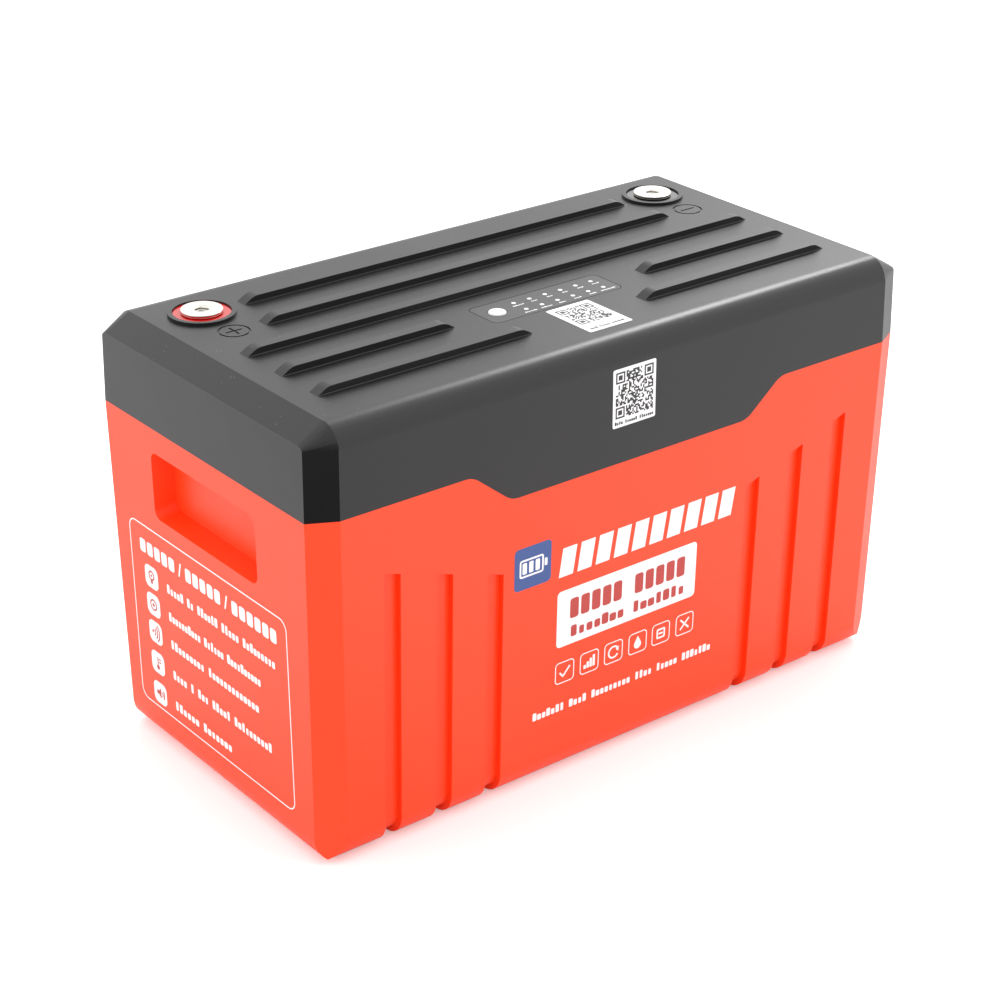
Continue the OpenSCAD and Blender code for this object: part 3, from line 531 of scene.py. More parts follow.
@dataclass(frozen=True)
class CircuitBoard:
    """Lacquered circuit board with tracks and tinned pads."""

    name: str
    lacquer: Colour = (0.006, 0.05, 0.022)
    copper: Colour = (0.012, 0.11, 0.045)
    tin: Colour = (0.5, 0.5, 0.48)
    tin_metallic: float = 0.8
    lacquer_roughness: float = 0.32
    tin_roughness: float = 0.22
    track_height: float = 0.00002

    def build(self) -> bpy.types.Material:
        """Makes the material."""
        material, graph, shader = shell_of(self.name)
        tracks = graph.group(EFFECTS.board_tracks(), Tracks_per_metre=240.0)
        pad = tracks.outputs["Pad"]
        base = graph.blend(tracks.outputs["Track"], self.lacquer, self.copper)
        graph.fill(
            shader,
            Base_Color=graph.blend(pad, base, self.tin),
            Metallic=graph.math("MULTIPLY", pad, self.tin_metallic),
            Roughness=graph.remap(pad, 0.0, 1.0, self.lacquer_roughness, self.tin_roughness),
            Normal=bump(graph, tracks.outputs["Track"], self.track_height),
        )
        return material


@dataclass(frozen=True)
class ShrunkFilm:
    """Thin plastic film drawn tight over a can, with faint creases."""

    name: str
    colour: Colour
    roughness: float = 0.28
    creases_per_metre: float = 55.0
    crease_depth: float = 0.0003
    crease_strength: float = 0.5
    coat: float = 0.3

    def build(self) -> bpy.types.Material:
        """Makes the material."""
        material, graph, shader = shell_of(self.name)
        place = graph.add("TexCoord").outputs["Object"]
        crease = graph.add(
            "TexNoise", Vector=place, Scale=self.creases_per_metre, Detail=6.0, Distortion=1.2
        )
        cloud = graph.group(EFFECTS.slow_mottle(), Clouds_per_metre=14.0).outputs["Mask"]
        deeper = tuple(value * 0.75 for value in self.colour)
        graph.fill(
            shader,
            Base_Color=graph.blend(cloud, deeper, self.colour),
            Roughness=graph.remap(
                crease.outputs["Fac"], 0.3, 0.7, self.roughness - 0.06, self.roughness + 0.1
            ),
            Normal=bump(graph, crease.outputs["Fac"], self.crease_depth, self.crease_strength),
            Coat_Weight=self.coat,
        )
        return material


@dataclass(frozen=True)
class SoftFoam:
    """Open foam or felted rubber, with painted shade darkening the pits of its cells."""

    name: str
    colour: Colour
    cells_per_metre: float = 900.0
    cell_depth: float = 0.0004

    def build(self) -> bpy.types.Material:
        """Makes the material."""
        material, graph, shader = shell_of(self.name)
        grain = graph.group(EFFECTS.moulded_grain(), Grains_per_metre=self.cells_per_metre)
        # painted shade: the pits of the cell grain get 35% of the colour, standing in for shade in
        # the pores
        pore_shade = tuple(value * 0.35 for value in self.colour)
        graph.fill(
            shader,
            Base_Color=graph.blend(grain.outputs["Dimple"], pore_shade, self.colour),
            Roughness=graph.remap(grain.outputs["Height"], 0.2, 0.8, 0.8, 0.98),
            Normal=bump(graph, grain.outputs["Height"], self.cell_depth),
        )
        return material


@dataclass(frozen=True)
class LampLens:
    """Milky light guide with a cloudy tone, that glows a little."""

    name: str
    colour: Colour = (0.82, 0.84, 0.82)
    glow: float = 0.15

    def build(self) -> bpy.types.Material:
        """Makes the material."""
        material, graph, shader = shell_of(self.name)
        cloud = graph.group(EFFECTS.slow_mottle(), Clouds_per_metre=400.0).outputs["Mask"]
        soft = tuple(value * 0.85 for value in self.colour)
        tone = graph.blend(cloud, soft, self.colour)
        graph.fill(
            shader,
            Base_Color=tone,
            Roughness=graph.remap(cloud, 0.0, 1.0, 0.2, 0.35),
            Emission_Color=tone,
            Emission_Strength=self.glow,
        )
        return material


# ---------------------------------------------------------------- outlines and thin sheets


def rounded_box(
    centre: Point2, width: float, height: float, radius: float, steps: int = 6
) -> Outline:
    """Gives a rectangle with rounded corners.

    Args:
        centre: The middle of the rectangle.
        width: Its full width.
        height: Its full height.
        radius: The corner radius.
        steps: How many pieces each corner has.

    Returns:
        The outline, anticlockwise.
    """
    points: Outline = []
    corners = ((1, 1, 0), (-1, 1, 90), (-1, -1, 180), (1, -1, 270))
    for side_x, side_y, start in corners:
        corner_x = centre[0] + side_x * (width / 2 - radius)
        corner_y = centre[1] + side_y * (height / 2 - radius)
        for step in range(steps + 1):
            angle = math.radians(start + 90 * step / steps)
            points.append(
                (corner_x + radius * math.cos(angle), corner_y + radius * math.sin(angle))
            )
    return points


def circle(centre: Point2, radius: float, steps: int = 32) -> Outline:
    """Gives a circle as an outline, anticlockwise."""
    return [
        (
            centre[0] + radius * math.cos(2 * math.pi * i / steps),
            centre[1] + radius * math.sin(2 * math.pi * i / steps),
        )
        for i in range(steps)
    ]


def bow(centre: Point2, radius: float, start: float, end: float, steps: int = 10) -> list[Point2]:
    """Gives points on an arc from one angle to another, in degrees."""
    angles = [math.radians(start + (end - start) * i / steps) for i in range(steps + 1)]
    return [(centre[0] + radius * math.cos(a), centre[1] + radius * math.sin(a)) for a in angles]


def stroke(points: Sequence[Point2], width: float) -> Outline:
    """Widens an open line into a closed strip with square ends.

    Args:
        points: The line's points.
        width: The strip's width.

    Returns:
        The strip's outline.
    """
    left: Outline = []
    right: Outline = []
    for i, (x, y) in enumerate(points):
        before = points[max(i - 1, 0)]
        after = points[min(i + 1, len(points) - 1)]
        along = Vector((after[0] - before[0], after[1] - before[1])).normalized()
        left.append((x - along.y * width / 2, y + along.x * width / 2))
        right.append((x + along.y * width / 2, y - along.x * width / 2))
    return right + left[::-1]


@dataclass(frozen=True)
class FacePlane:
    """A flat face of the housing that something lies on."""

    origin: Vector
    right: Vector
    up: Vector

    @property
    def out(self) -> Vector:
        """The direction away from the face."""
        return self.right.cross(self.up).normalized()

    def at(self, point: Point2, lift: float) -> Vector:
        """Gives the place of a point drawn on the face, lifted off it."""
        return self.origin + self.right * point[0] + self.up * point[1] + self.out * lift


def level_face(height: float) -> FacePlane:
    """Gives the level plane at a height, drawn with X to the right and Y upwards."""
    return FacePlane(Vector((0.0, 0.0, height)), RIGHT, BACK)


class SheetDraft:
    """Collects flat shapes on one face, and turns them into one thin closed mesh."""

    def __init__(self, plane: FacePlane, low: float, high: float) -> None:
        """Keeps where the shapes lie.

        Args:
            plane: The face that they are drawn on.
            low: How far their underside is from the face; below 0 is inside it.
            high: How far their upper side is from the face.
        """
        self.plane = plane
        self.low = low
        self.high = high
        self.points: list[Vector] = []
        self.faces: list[list[int]] = []

    def _loops(self, outline: Outline) -> tuple[list[int], list[int]]:
        """Adds an outline's lower and upper points, and gives their numbers."""
        start = len(self.points)
        count = len(outline)
        self.points += [self.plane.at(p, self.low) for p in outline]
        self.points += [self.plane.at(p, self.high) for p in outline]
        return list(range(start, start + count)), list(range(start + count, start + 2 * count))

    def patch(self, outline: Outline) -> None:
        """Adds a filled shape, drawn anticlockwise."""
        low, high = self._loops(outline)
        count = len(outline)
        self.faces.append(high)
        self.faces.append(low[::-1])
        for i in range(count):
            j = (i + 1) % count
            self.faces.append([low[i], low[j], high[j], high[i]])

    def patches(self, outlines: Iterable[Outline]) -> None:
        """Adds several filled shapes."""
        for outline in outlines:
            self.patch(outline)

    def band(self, outer: Outline, inner: Outline) -> None:
        """Adds a closed band between two outlines with as many points each."""
        low_out, high_out = self._loops(outer)
        low_in, high_in = self._loops(inner)
        count = len(outer)
        for i in range(count):
            j = (i + 1) % count
            self.faces.append([high_out[i], high_out[j], high_in[j], high_in[i]])
            self.faces.append([low_out[j], low_out[i], low_in[i], low_in[j]])
            self.faces.append([low_out[i], low_out[j], high_out[j], high_out[i]])
            self.faces.append([low_in[j], low_in[i], high_in[i], high_in[j]])

    def frame(
        self, centre: Point2, width: float, height: float, radius: float, line: float
    ) -> None:
        """Adds the outline of a rounded rectangle, line wide."""
        inner = rounded_box(
            centre, width - 2 * line, height - 2 * line, max(radius - line, line / 4)
        )
        self.band(rounded_box(centre, width, height, radius), inner)

    def build(
        self, name: str, material: bpy.types.Material, slot: str, body: str = BODY
    ) -> bpy.types.Object:
        """Makes the object and lets it ride on its body.

        Args:
            name: The piece's name.
            material: Its finish.
            slot: Not used.
            body: The body that it moves with.

        Returns:
            The new object.
        """
        return piece(name, self.points, self.faces, material, body)


def piece(
    name: str,
    points: Sequence[Vector],
    faces: Sequence[Sequence[int]],
    material: bpy.types.Material,
    body: str = BODY,
) -> bpy.types.Object:
    """Makes a mesh object that rides on a body.

    Args:
        name: The piece's name.
        points: Its corner points.
        faces: Its faces, as numbers of points.
        material: Its finish.
        body: The body that it moves with.

    Returns:
        The new object.
    """
    mesh = bpy.data.meshes.new(name)
    mesh.from_pydata([tuple(p) for p in points], [], [list(f) for f in faces])
    mesh.validate()
    mesh.materials.append(material)
    made = bpy.data.objects.new(name, mesh)
    bpy.context.scene.collection.objects.link(made)
    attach(made, body)
    LOG.info("made %s with %d faces", name, len(faces))
    return made


def word_blocks(
    start: Point2, end_x: float, height: float, words: Sequence[int], seed: int, even: bool = False
) -> Iterable[Outline]:
    """Gives plain blocks that stand for a line of print, without any letters.

    Args:
        start: The line's left end, at its foot.
        end_x: Where the line ends.
        height: The height of its tallest blocks.
        words: How many blocks each group has.
        seed: The seed that the blocks' heights are drawn with.
        even: Whether all the blocks are of full height.

    Yields:
        The outline of one block at a time.
    """
    draw = random.Random(seed)
    pitch = (end_x - start[0]) / (sum(words) + len(words) - 1)
    x = start[0]
    for count in words:
        for place in range(count):
            tall = height if even or place == 0 or draw.random() < 0.2 else height * 0.72
            width = pitch * (0.78 if even else draw.choice((0.6, 0.74, 0.74, 0.84)))
            centre = (x + pitch / 2, start[1] + tall / 2)
            yield rounded_box(centre, width, tall, min(width, tall) * 0.25, 3)
            x += pitch
        x += pitch


# ---------------------------------------------------------------- the housing


@dataclass
class Housing:
    """The two-part housing: case below, cover above, and the seal between them.

    A lean is how far a side goes in or out for each unit of height.
    """

    case_round: float = 0.0014
    cover_round: float = 0.0006
    parting_z: float = 0.189
    case_side_lean: float = 0.0195
    case_end_lean: float = 0.0087
    cover_side_lean: float = 0.0151
    half_width: float = field(init=False)
    half_length: float = field(init=False)

    def __post_init__(self) -> None:
        """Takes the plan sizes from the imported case."""
        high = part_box("case")[1]
        self.half_length = high.x
        self.half_width = high.y

    def front_face(self) -> FacePlane:
        """Gives the case's near long side; X is to the right, the height above the base is up."""
        lean = self.case_side_lean
        near = -(self.half_width - lean * self.parting_z)
        return FacePlane(Vector((0.0, near, 0.0)), RIGHT, Vector((0.0, -lean, 1.0)))

    def end_face(self) -> FacePlane:
        """Gives the case's left end; -Y is to the right, the height above the base is up."""
        lean = self.case_end_lean
        left = -(self.half_length - lean * self.parting_z)
        return FacePlane(Vector((left, 0.0, 0.0)), -BACK, Vector((-lean, 0.0, 1.0)))

    def cover_face(self, lift: float) -> FacePlane:
        """Gives the cover's near long side, raised by lift."""
        lean = self.cover_side_lean
        near = -(self.half_width + lean * self.parting_z) - lift
        return FacePlane(Vector((0.0, near, 0.0)), RIGHT, Vector((0.0, lean, 1.0)))

    def dress(self) -> None:
        """Gives the case, cover and seal their finishes and rounded edges."""
        case = MouldedPlastic(
            "case_orange", (1.0, 0.054, 0.004), roughness=0.4, grains_per_metre=2600.0,
            grain_depth=0.000022, tone_shift=0.05, rub=0.0,
        )
        cover = MouldedPlastic(
            "cover_black", (0.009, 0.009, 0.0092), roughness=0.36, grains_per_metre=2200.0,
            grain_depth=0.00003, tone_shift=0.1, rub=0.0, dust=0.6,
        )
        wear("case", case.build())
        wear("cover", cover.build())
        soften("case", self.case_round)
        soften("cover", self.cover_round)
        wear("cover_seal", SoftFoam("seal_rubber", (0.02, 0.02, 0.02), 1500.0).build())


JOIN_REACH = 0.000003
FLAT_DEGREES = 0.4
EDGE_SEGMENTS = 3
EDGE_DEGREES = 25.0


def wear(node: str, material: bpy.types.Material) -> None:
    """Puts a finish on a node of the frame.

    Args:
        node: The node's name.
        material: The finish.
    """
    mesh = frame["nodes"][node].data
    mesh.materials.clear()
    mesh.materials.append(material)
    LOG.info("dressed %s in %s", node, material.name)


def soften(node: str, width: float) -> None:
    """Rounds the sharp edges of a node with modifiers, and leaves its mesh as it is.

    Args:
        node: The node's name.
        width: How far the rounding reaches from the edge.
    """
    target = frame["nodes"][node]
    join = target.modifiers.new("join_points", "WELD")
    join.merge_threshold = JOIN_REACH
    flat = target.modifiers.new("merge_flats", "DECIMATE")
    flat.decimate_type = "DISSOLVE"
    flat.angle_limit = math.radians(FLAT_DEGREES)
    rounding = target.modifiers.new("round_edges", "BEVEL")
    rounding.width = width
    rounding.segments = EDGE_SEGMENTS
    rounding.limit_method = "ANGLE"
    rounding.angle_limit = math.radians(EDGE_DEGREES)
    rounding.use_clamp_overlap = True
    rounding.miter_outer = "MITER_ARC"
    rounding.harden_normals = False
    even = target.modifiers.new("even_shading", "WEIGHTED_NORMAL")
    even.weight = 80
    even.keep_sharp = False
    target.data.shade_smooth()


# ---------------------------------------------------------------- printed graphics


INK_LIFT = 0.05 * MM
INK_SINK = -0.05 * MM


Drawing = tuple[list[Outline], list[tuple[Outline, Outline]]]


class Sign(Enum):
    """The plain signs that stand in the small frames and buttons of the print."""

    LAMP = "lamp"
    SHIELD = "shield"
    WAVES = "waves"
    GAUGE = "gauge"
    HORN = "horn"
    TICK = "tick"
    BARS = "bars"
    LOOP = "loop"
    DROP = "drop"
    BOX = "box"
    CROSS = "cross"


def sign_shapes(sign: Sign, centre: Point2, size: float) -> Drawing:
    """Draws a plain sign.

    Args:
        sign: Which sign.
        centre: Its middle.
        size: The side of the square that it fills.

    Returns:
        The filled outlines, and the bands as pairs of outer and inner outlines.
    """
    unit = size / 10
    line = unit * 1.15

    def spot(x: float, y: float) -> Point2:
        """Gives a point from units of the sign."""
        return centre[0] + x * unit, centre[1] + y * unit

    def path(points: Sequence[Point2], width: float = line) -> Outline:
        """Gives a widened line from points in units."""
        return stroke([spot(*p) for p in points], width)

    def disc(x: float, y: float, radius: float, steps: int = 16) -> Outline:
        """Gives a filled circle, its radius in units."""
        return circle(spot(x, y), radius * unit, steps)

    def band(x: float, y: float, radius: float) -> tuple[Outline, Outline]:
        """Gives a round band as two outlines."""
        return disc(x, y, radius, 28), circle(spot(x, y), radius * unit - line, 28)

    def arcs(x: float, radii: Sequence[float], half: float) -> list[Outline]:
        """Gives arcs that open to the right, half degrees above and below the level."""
        return [stroke(bow(spot(x, 0), r * unit, -half, half), line) for r in radii]

    def bar(x: float, height: float) -> Outline:
        """Gives one upright bar of a row on a common foot."""
        middle = spot(x, -3.6 + height / 2)
        return rounded_box(middle, 1.7 * unit, height * unit, 0.3 * unit, 2)

    tank_side = 6.6 * unit
    tank = (
        rounded_box(spot(0, 0), tank_side, tank_side, unit, 4),
        rounded_box(spot(0, 0), tank_side - 2 * line, tank_side - 2 * line, unit / 2, 4),
    )
    horn = ((-4.2, -1.4), (-2.0, -1.4), (1.0, -4.0), (1.0, 4.0), (-2.0, 1.4), (-4.2, 1.4))
    drawings: dict[Sign, Drawing] = {
        Sign.LAMP: (
            [path([(0, -2.2), (0, -4.6)], 2.6 * unit), disc(0, 1.2, 1)], [band(0, 1.2, 3.6)],
        ),
        Sign.SHIELD: ([disc(0, 0, 1.3)], [band(0, 0, 4.2)]),
        Sign.WAVES: ([disc(-3.2, 0, 1.1), *arcs(-3.2, (3.2, 5.6, 8.0), 48)], []),
        Sign.GAUGE: (
            [
                path([(0, -2.0), (0, 4.2)]),
                disc(0, -3.2, 1.8, 20),
                path([(1.6, 3.4), (3.6, 3.4)]),
                path([(1.6, 1.0), (3.6, 1.0)]),
            ],
            [],
        ),
        Sign.HORN: ([[spot(*p) for p in horn], *arcs(0.6, (2.6, 4.6), 42)], []),
        Sign.TICK: ([path([(-3.6, 0.2), (-1.0, -2.8)]), path([(-1.4, -2.9), (3.8, 3.0)])], []),
        Sign.BARS: ([bar(-3.3, 2.6), bar(-1.1, 4.2), bar(1.1, 5.8), bar(3.3, 7.4)], []),
        Sign.LOOP: (
            [
                [spot(1.65, 1.29), spot(3.59, -0.3), spot(4.02, 3.14)],
                stroke(bow(spot(0, 0), 3.6 * unit, 40, 330, 24), line),
            ],
            [],
        ),
        Sign.DROP: ([bow(spot(0, -1.2), 2.7 * unit, 151.2, 388.8, 20) + [spot(0, 4.4)]], []),
        Sign.BOX: ([path([(-1.6, 0), (1.6, 0)])], [tank]),
        Sign.CROSS: (
            [
                path([(-3.3, -3.3), (3.3, 3.3)]),
                path([(-3.3, 3.3), (-0.6, 0.6)]),
                path([(0.6, -0.6), (3.3, -3.3)]),
            ],
            [],
        ),
    }
    return drawings[sign]


def draw_sign(draft: SheetDraft, sign: Sign, centre: Point2, size: float) -> None:
    """Adds a sign's shapes to a sheet."""
    patches, bands = sign_shapes(sign, centre, size)
    draft.patches(patches)
    for outer, inner in bands:
        draft.band(outer, inner)


@dataclass
class FrontPrint:
    """The graphics printed on the case's near long side."""

    housing: Housing
    tile_centre: Point2 = (-62.9 * MM, 129.5 * MM)
    tile_size: float = 23.4 * MM
    gauge_start: float = -46.0 * MM
    gauge_end: float = 74.0 * MM
    gauge_foot: float = 117.0 * MM
    gauge_height: float = 16.0 * MM
    gauge_cells: int = 10
    plate_centre: Point2 = (0.8 * MM, 92.5 * MM)
    plate_size: Point2 = (94.4 * MM, 32.4 * MM)
    sign_xs: tuple[float, ...] = (-40.3 * MM, -23.8 * MM, -7.4 * MM, 9.2 * MM, 25.4 * MM, 42.2 * MM)
    sign_z: float = 61.0 * MM
    sign_size: float = 12.6 * MM
    foot_line: tuple[float, float, float] = (-61.0 * MM, 62.4 * MM, 38.4 * MM)
    foot_height: float = 4.6 * MM
    foot_words: tuple[int, ...] = (7, 4, 9, 4, 5, 7)
    foot_seed: int = 11

    def build(
        self, white: bpy.types.Material, blue: bpy.types.Material, red: bpy.types.Material
    ) -> None:
        """Prints the tile, the level gauge, the rating plate, the signs and the foot line.

        Args:
            white: The white ink.
            blue: The tile's blue ink.
            red: The ink of the marks on the white plate.
        """
        face = self.housing.front_face()
        self._tile(face, white, blue)
        self._gauge(face, white)
        self._plate(face, white, red)
        self._signs(face, white)
        line = SheetDraft(face, INK_SINK, INK_LIFT)
        start, end, foot = self.foot_line
        line.patches(
            word_blocks((start, foot), end, self.foot_height, self.foot_words, self.foot_seed)
        )
        line.build("front_foot_line", white, "label_white")

    def _tile(self, face: FacePlane, white: bpy.types.Material, blue: bpy.types.Material) -> None:
        """Prints the blue tile with a plain battery drawn on it."""
        tile = SheetDraft(face, INK_SINK, INK_LIFT)
        tile.patch(rounded_box(self.tile_centre, self.tile_size, self.tile_size, 2.6 * MM))
        tile.build("front_tile", blue, "label_white")
        x, z = self.tile_centre
        drawing = SheetDraft(face, INK_LIFT / 2, 2 * INK_LIFT)
        drawing.frame((x - 0.8 * MM, z), 15.2 * MM, 10.0 * MM, 1.4 * MM, 1.0 * MM)
        drawing.patch(rounded_box((x + 8.3 * MM, z), 1.8 * MM, 4.2 * MM, 0.5 * MM, 3))
        for step in range(3):
            drawing.patch(
                rounded_box((x - (5.2 - 4.1 * step) * MM, z), 2.7 * MM, 6.2 * MM, 0.5 * MM, 3)
            )
        drawing.build("front_tile_drawing", white, "label_white")

    def _gauge(self, face: FacePlane, white: bpy.types.Material) -> None:
        """Prints a row of slanted cells like those of a level gauge."""
        draft = SheetDraft(face, INK_SINK, INK_LIFT)
        pitch = (self.gauge_end - self.gauge_start) / self.gauge_cells
        width, slant = pitch * 0.76, 2.4 * MM
        for cell in range(self.gauge_cells):
            x = self.gauge_start + cell * pitch
            foot, head = self.gauge_foot, self.gauge_foot + self.gauge_height
            draft.patch(
                [(x, foot), (x + width, foot), (x + width + slant, head), (x + slant, head)]
            )
        draft.build("front_level_gauge", white, "label_white")

    def _plate(self, face: FacePlane, white: bpy.types.Material, red: bpy.types.Material) -> None:
        """Prints the white plate with two lines of red blocks."""
        plate = SheetDraft(face, INK_SINK, INK_LIFT)
        plate.patch(rounded_box(self.plate_centre, *self.plate_size, 2.4 * MM))
        plate.build("front_rating_plate", white, "label_white")
        marks = SheetDraft(face, INK_LIFT / 2, 2 * INK_LIFT)
        x, z = self.plate_centre
        for left, foot, height, words, seed, even in (
            (39.5 * MM, 1.4 * MM, 11.4 * MM, (5, 5), 3, True),
            (38.5 * MM, 12.2 * MM, 6.4 * MM, (7, 7), 5, False),
        ):
            start = (x - left, z - foot)
            marks.patches(word_blocks(start, x + 40.0 * MM, height, words, seed, even))
        marks.build("front_rating_marks", red, "label_white")

    def _signs(self, face: FacePlane, white: bpy.types.Material) -> None:
        """Prints the row of six small framed signs."""
        draft = SheetDraft(face, INK_SINK, INK_LIFT)
        signs = (Sign.TICK, Sign.BARS, Sign.LOOP, Sign.DROP, Sign.BOX, Sign.CROSS)
        for x, sign in zip(self.sign_xs, signs):
            draft.frame((x, self.sign_z), self.sign_size, self.sign_size, 2.4 * MM, 0.55 * MM)
            draw_sign(draft, sign, (x, self.sign_z), self.sign_size * 0.72)
        draft.build("front_signs", white, "label_white")


@dataclass
class EndPrint:
    """The framed list printed on the case's left end."""

    housing: Housing
    left: float = -75.0 * MM
    right: float = 70.5 * MM
    bottom: float = 23.0 * MM
    top: float = 130.0 * MM
    title_foot: float = 113.6 * MM
    button_x: float = -55.9 * MM
    button_size: float = 12.8 * MM
    row_zs: tuple[float, ...] = (101.4 * MM, 85.2 * MM, 69.0 * MM, 50.8 * MM, 32.4 * MM)
    row_ends: tuple[float, ...] = (59.0 * MM, 45.0 * MM, 42.0 * MM, 52.0 * MM, 14.0 * MM)
    row_start: float = -41.0 * MM
    row_height: float = 5.2 * MM
    row_words: tuple[tuple[int, ...], ...] = (
        (5, 2, 6, 5, 9), (10, 6, 10), (9, 13), (4, 1, 3, 5, 10), (6, 7),
    )
    row_signs: tuple[Sign, ...] = (Sign.LAMP, Sign.SHIELD, Sign.WAVES, Sign.GAUGE, Sign.HORN)

    def build(self, white: bpy.types.Material, red: bpy.types.Material) -> None:
        """Prints the frame, the title line, and five rows of a sign and a line of blocks.

        Args:
            white: The white ink.
            red: The ink of the signs on the white buttons.
        """
        face = self.housing.end_face()
        middle = ((self.left + self.right) / 2, (self.bottom + self.top) / 2)
        frame_line = SheetDraft(face, INK_SINK, INK_LIFT)
        frame_line.frame(middle, self.right - self.left, self.top - self.bottom, 6.0 * MM, 0.7 * MM)
        frame_line.build("end_frame", white, "label_white")
        lines = SheetDraft(face, INK_SINK, INK_LIFT)
        foot = self.title_foot
        for start, end, count in ((-66.0, -31.0, 5), (-22.0, 12.0, 5), (21.0, 62.0, 6)):
            title = word_blocks((start * MM, foot), end * MM, 7.6 * MM, (count,), count, True)
            lines.patches(title)
        for x in (-26.5 * MM, 16.5 * MM):
            corners = ((-1.6, 0.0), (-0.4, 0.0), (1.6, 8.0), (0.4, 8.0))
            lines.patch([(x + right * MM, foot + up * MM) for right, up in corners])
        for z, end, row in zip(self.row_zs, self.row_ends, self.row_words):
            start = (self.row_start, z - self.row_height / 2)
            lines.patches(word_blocks(start, end, self.row_height, row, len(row)))
        lines.build("end_lines", white, "label_white")
        buttons = SheetDraft(face, INK_SINK, INK_LIFT)
        drawings = SheetDraft(face, INK_LIFT / 2, 2 * INK_LIFT)
        for z, sign in zip(self.row_zs, self.row_signs):
            buttons.patch(
                rounded_box((self.button_x, z), self.button_size, self.button_size, 3.6 * MM)
            )
            draw_sign(drawings, sign, (self.button_x, z), self.button_size * 0.62)
        buttons.build("end_buttons", white, "label_white")
        drawings.build("end_button_signs", red, "label_white")


@dataclass
class CodeLabel:
    """A stuck-on label with a square field of dark cells and a line of blocks under it."""

    name: str
    plane: FacePlane
    field_centre: Point2
    field_size: float
    caption: tuple[float, float, float]
    caption_height: float
    cells: int
    seed: int
    corner: int = 7

    def build(self, ink: bpy.types.Material) -> None:
        """Prints the field and the line.

        Args:
            ink: The dark ink.
        """
        draft = SheetDraft(self.plane, INK_SINK, INK_LIFT)
        cell = self.field_size / self.cells
        left = self.field_centre[0] - self.field_size / 2
        foot = self.field_centre[1] - self.field_size / 2
        for row, dark in enumerate(self._rows()):
            for start, end in dark:
                middle = (left + (start + end) / 2 * cell, foot + (row + 0.5) * cell)
                width = (end - start) * cell
                draft.patch(rounded_box(middle, width, cell * 1.02, cell * 0.08, 1))
        for corner_x, corner_z in self._corners():
            middle = (
                left + (corner_x + self.corner / 2) * cell,
                foot + (corner_z + self.corner / 2) * cell,
            )
            draft.frame(middle, self.corner * cell, self.corner * cell, cell * 0.1, cell)
            draft.patch(rounded_box(middle, 3 * cell, 3 * cell, cell * 0.1, 1))
        start, end, line_foot = self.caption
        words = (4, 6, 7)
        draft.patches(
            word_blocks((start, line_foot), end, self.caption_height, words, self.seed)
        )
        draft.build(self.name, ink, "label_white")

    def _corners(self) -> tuple[Point2, ...]:
        """Gives the first column and row of the three corner squares."""
        last = self.cells - self.corner
        return (0, 0), (0, last), (last, last)

    def _rows(self) -> Iterable[list[Point2]]:
        """Draws each row's dark runs at random, with the corner squares left free.

        Yields:
            The runs of one row, each as its first column and the column after its last.
        """
        draw = random.Random(self.seed)
        guard = self.corner + 1
        for row in range(self.cells):
            runs: list[Point2] = []
            for column in range(self.cells):
                in_left = column < guard and (row < guard or row >= self.cells - guard)
                in_right = column >= self.cells - guard and row >= self.cells - guard
                dark = draw.random() < 0.5
                if in_left or in_right or not dark:
                    continue
                if runs and runs[-1][1] == column:
                    runs[-1] = (runs[-1][0], column + 1)
                else:
                    runs.append((column, column + 1))
            yield runs


@dataclass
class Labels:
    """The two white labels: one on the deck and one on the cover's near side."""

    housing: Housing
    thickness: float = 0.2 * MM

    def build(self, ink: bpy.types.Material) -> None:
        """Dresses the labels and prints their fields.

        Args:
            ink: The dark ink.
        """
        paper = PrintedInk("label_paper", (0.9, 0.9, 0.9), roughness=0.4, unevenness=0.03).build()
        wear("deck_label", paper)
        wear("side_label", paper)
        low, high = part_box("deck_label")
        middle_x = (low.x + high.x) / 2
        size = high.x - low.x - 6.0 * MM
        CodeLabel(
            "deck_label_print",
            level_face(high.z),
            field_centre=(middle_x, high.y - 3.4 * MM - size / 2),
            field_size=size,
            caption=(middle_x - size / 2, middle_x + size / 2, low.y + 2.6 * MM),
            caption_height=2.0 * MM,
            cells=25,
            seed=4,
        ).build(ink)
        low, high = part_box("side_label")
        middle_x = (low.x + high.x) / 2
        size = high.x - low.x - 3.4 * MM
        CodeLabel(
            "side_label_print",
            self.housing.cover_face(self.thickness),
            field_centre=(middle_x, high.z - 1.8 * MM - size / 2),
            field_size=size,
            caption=(low.x + 1.2 * MM, high.x - 1.2 * MM, low.z + 1.4 * MM),
            caption_height=1.8 * MM,
            cells=29,
            seed=9,
        ).build(ink)


# ---------------------------------------------------------------- indicator


